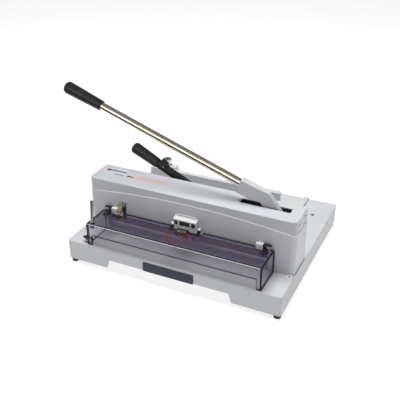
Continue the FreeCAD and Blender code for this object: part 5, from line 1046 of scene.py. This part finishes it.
HUB_R = 4.0 * MM
INTERLOCK_BLOCKS = (((-12, -9.6, -7), (1.6, -0.6, 3), 0.8),
                    ((-11.2, -8.6, -18), (0.4, -0.8, -6), 0.6),
                    ((-12.6, -10.4, -1), (-4, -6.6, 1.6), 0.5),
                    ((0, -3, -6), (5, 3, 2), 0.5))
TOE_BLOCKS = (((-15.5, 0, 0.2), (-3, 7, 4), 0.7),
              ((-14.5, 4, 2), (-4, 12, 7), 0.7))
ARM_ROOT = ((-10, -5.6, -14), (-10, -2.6, -17))
ARM_END = ((-10, 9, 1.4), (-10, 3, 4.4), (-10, 6, 7))
ARM_W = 9.0 * MM


def build_interlock():
    """Bent brass lever: block before the slot, sloping arm and a toe on the cover."""
    low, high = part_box("interlock_lever")
    hinge = joint_place("interlock_swing")
    lever = bmesh.new()
    rod(lever, (low.x, hinge.y, hinge.z), (high.x, hinge.y, hinge.z), HUB_R, SMALL_EDGE)
    slot = Vector((low.x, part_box("housing_body")[0].y, hinge.z))
    blocks(lever, slot, INTERLOCK_BLOCKS)
    outline = [slot + Vector(point) * MM for point in ARM_ROOT]
    outline += [low + Vector(point) * MM for point in ARM_END]
    slab(lever, outline, X_AXIS * ARM_W, SMALL_EDGE)
    blocks(lever, low, TOE_BLOCKS)
    piece("brass_interlock", lever, "interlock", [MATERIALS["latch_brass"]],
          ["interlock_lever"])


# ---------------------------------------------------------------- rear table
STAR_FOOT = ((0.0, 0.0), (0.0, 8.0), (4.6, 8.6), (5.6, 9.6), (5.8, 12.0), (6.8, 12.6))
STAR_TOP = ((2.0, 12.6), (0.6, 11.4), (0.0, 9.6), (0.8, 7.0), (1.0, 0.0))
LOBES = 8
LOBE_RING = 12.0 * MM
LOBE_R = 2.2 * MM
LOBE_FOOT = 6.4 * MM
LOBE_TOP = 1.2 * MM
PLUG_R = 3.6 * MM
PLUG_TOP = 0.3 * MM


def build_lock_knob():
    """Plated star knob with a dark plug in its middle."""
    low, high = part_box("gauge_lock_knob")
    centre = joint_place("lock_turn")
    height = high.z - low.z
    knob = bmesh.new()
    top = [(height - back, out) for back, out in in_mm(STAR_TOP)]
    turned(knob, Vector((centre.x, centre.y, low.z)), Z_AXIS, in_mm(STAR_FOOT) + top)
    for lobe in range(LOBES):
        turn = FULL_TURN * (lobe + 0.5) / LOBES
        x = centre.x + math.cos(turn) * LOBE_RING
        y = centre.y + math.sin(turn) * LOBE_RING
        rod(knob, (x, y, low.z + LOBE_FOOT), (x, y, high.z - LOBE_TOP), LOBE_R, SOFT_EDGE,
            steps=SMALL_ROUND_STEPS)
    rod(knob, (centre.x, centre.y, high.z - LOBE_TOP), (centre.x, centre.y, high.z - PLUG_TOP),
        PLUG_R, FINE_EDGE, material=1)
    piece("star_knob", knob, "lock_knob",
          [MATERIALS["knob_chrome"], FLAT_BLACK_AND_SHADE], ["gauge_lock_knob"])


TICK_STEP = 5.0 * MM
TICK_INSET = 0.6 * MM
TICK_HALF = 0.2 * MM
TICK_H = 0.06 * MM
LONG_TICK = 6.0 * MM
SHORT_TICK = 3.4 * MM
LONG_EVERY = 5


def build_scale():
    """Measuring strip with plain ticks, a longer one at every fifth."""
    low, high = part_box("scale_strip")
    ticks = bmesh.new()
    block(ticks, low, high)
    start = low.x + TICK_INSET
    for index in range(1, int((high.y - low.y) / TICK_STEP)):
        y = low.y + index * TICK_STEP
        reach = SHORT_TICK if index % LONG_EVERY else LONG_TICK
        block(ticks, (start, y - TICK_HALF, high.z),
              (start + reach, y + TICK_HALF, high.z + TICK_H), 0.0, 1)
    piece("ruled_strip", ticks, "base",
          [MATERIALS["bracket_steel"], FLAT_BLACK_AND_SHADE], ["scale_strip"])


FOOT_R = 10.0 * MM
FOOT_PROFILE = ((4.5, 0.0), (4.5, 4.4), (0.6, 4.5), (0.0, 5.2), (0.0, 8.2), (0.7, 9.0),
                (3.2, 9.2), (3.6, 8.9), (4.2, 8.9), (4.6, 9.4), (12.0, 9.9), (12.0, 0.0))


def build_feet():
    """Ribbed rubber feet."""
    low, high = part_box("feet")
    rubber = bmesh.new()
    for x in (low.x + FOOT_R, high.x - FOOT_R):
        for y in (low.y + FOOT_R, high.y - FOOT_R):
            turned(rubber, Vector((x, y, low.z)), Z_AXIS, in_mm(FOOT_PROFILE),
                   steps=PART_ROUND_STEPS)
    piece("rubber_feet", rubber, "base", [MATERIALS["foot_rubber"]], ["feet"])


# ---------------------------------------------------------------- assembly
build_stage()
paint_nodes()
for node, width in EASED_NODES.items():
    eased(node, width)
build_ledge_highlight_strip()
build_lever()
build_clamp_grip()
build_cover()
build_sign()
build_marks()
build_table_screws()
build_centre_bracket()
build_knuckles()
build_hinge_block("hinge_block_left", 1)
build_hinge_block("hinge_block_right", -1)
build_latch()
build_lift_rod()
build_side_knob()
build_interlock()
build_lock_knob()
build_scale()
build_feet()
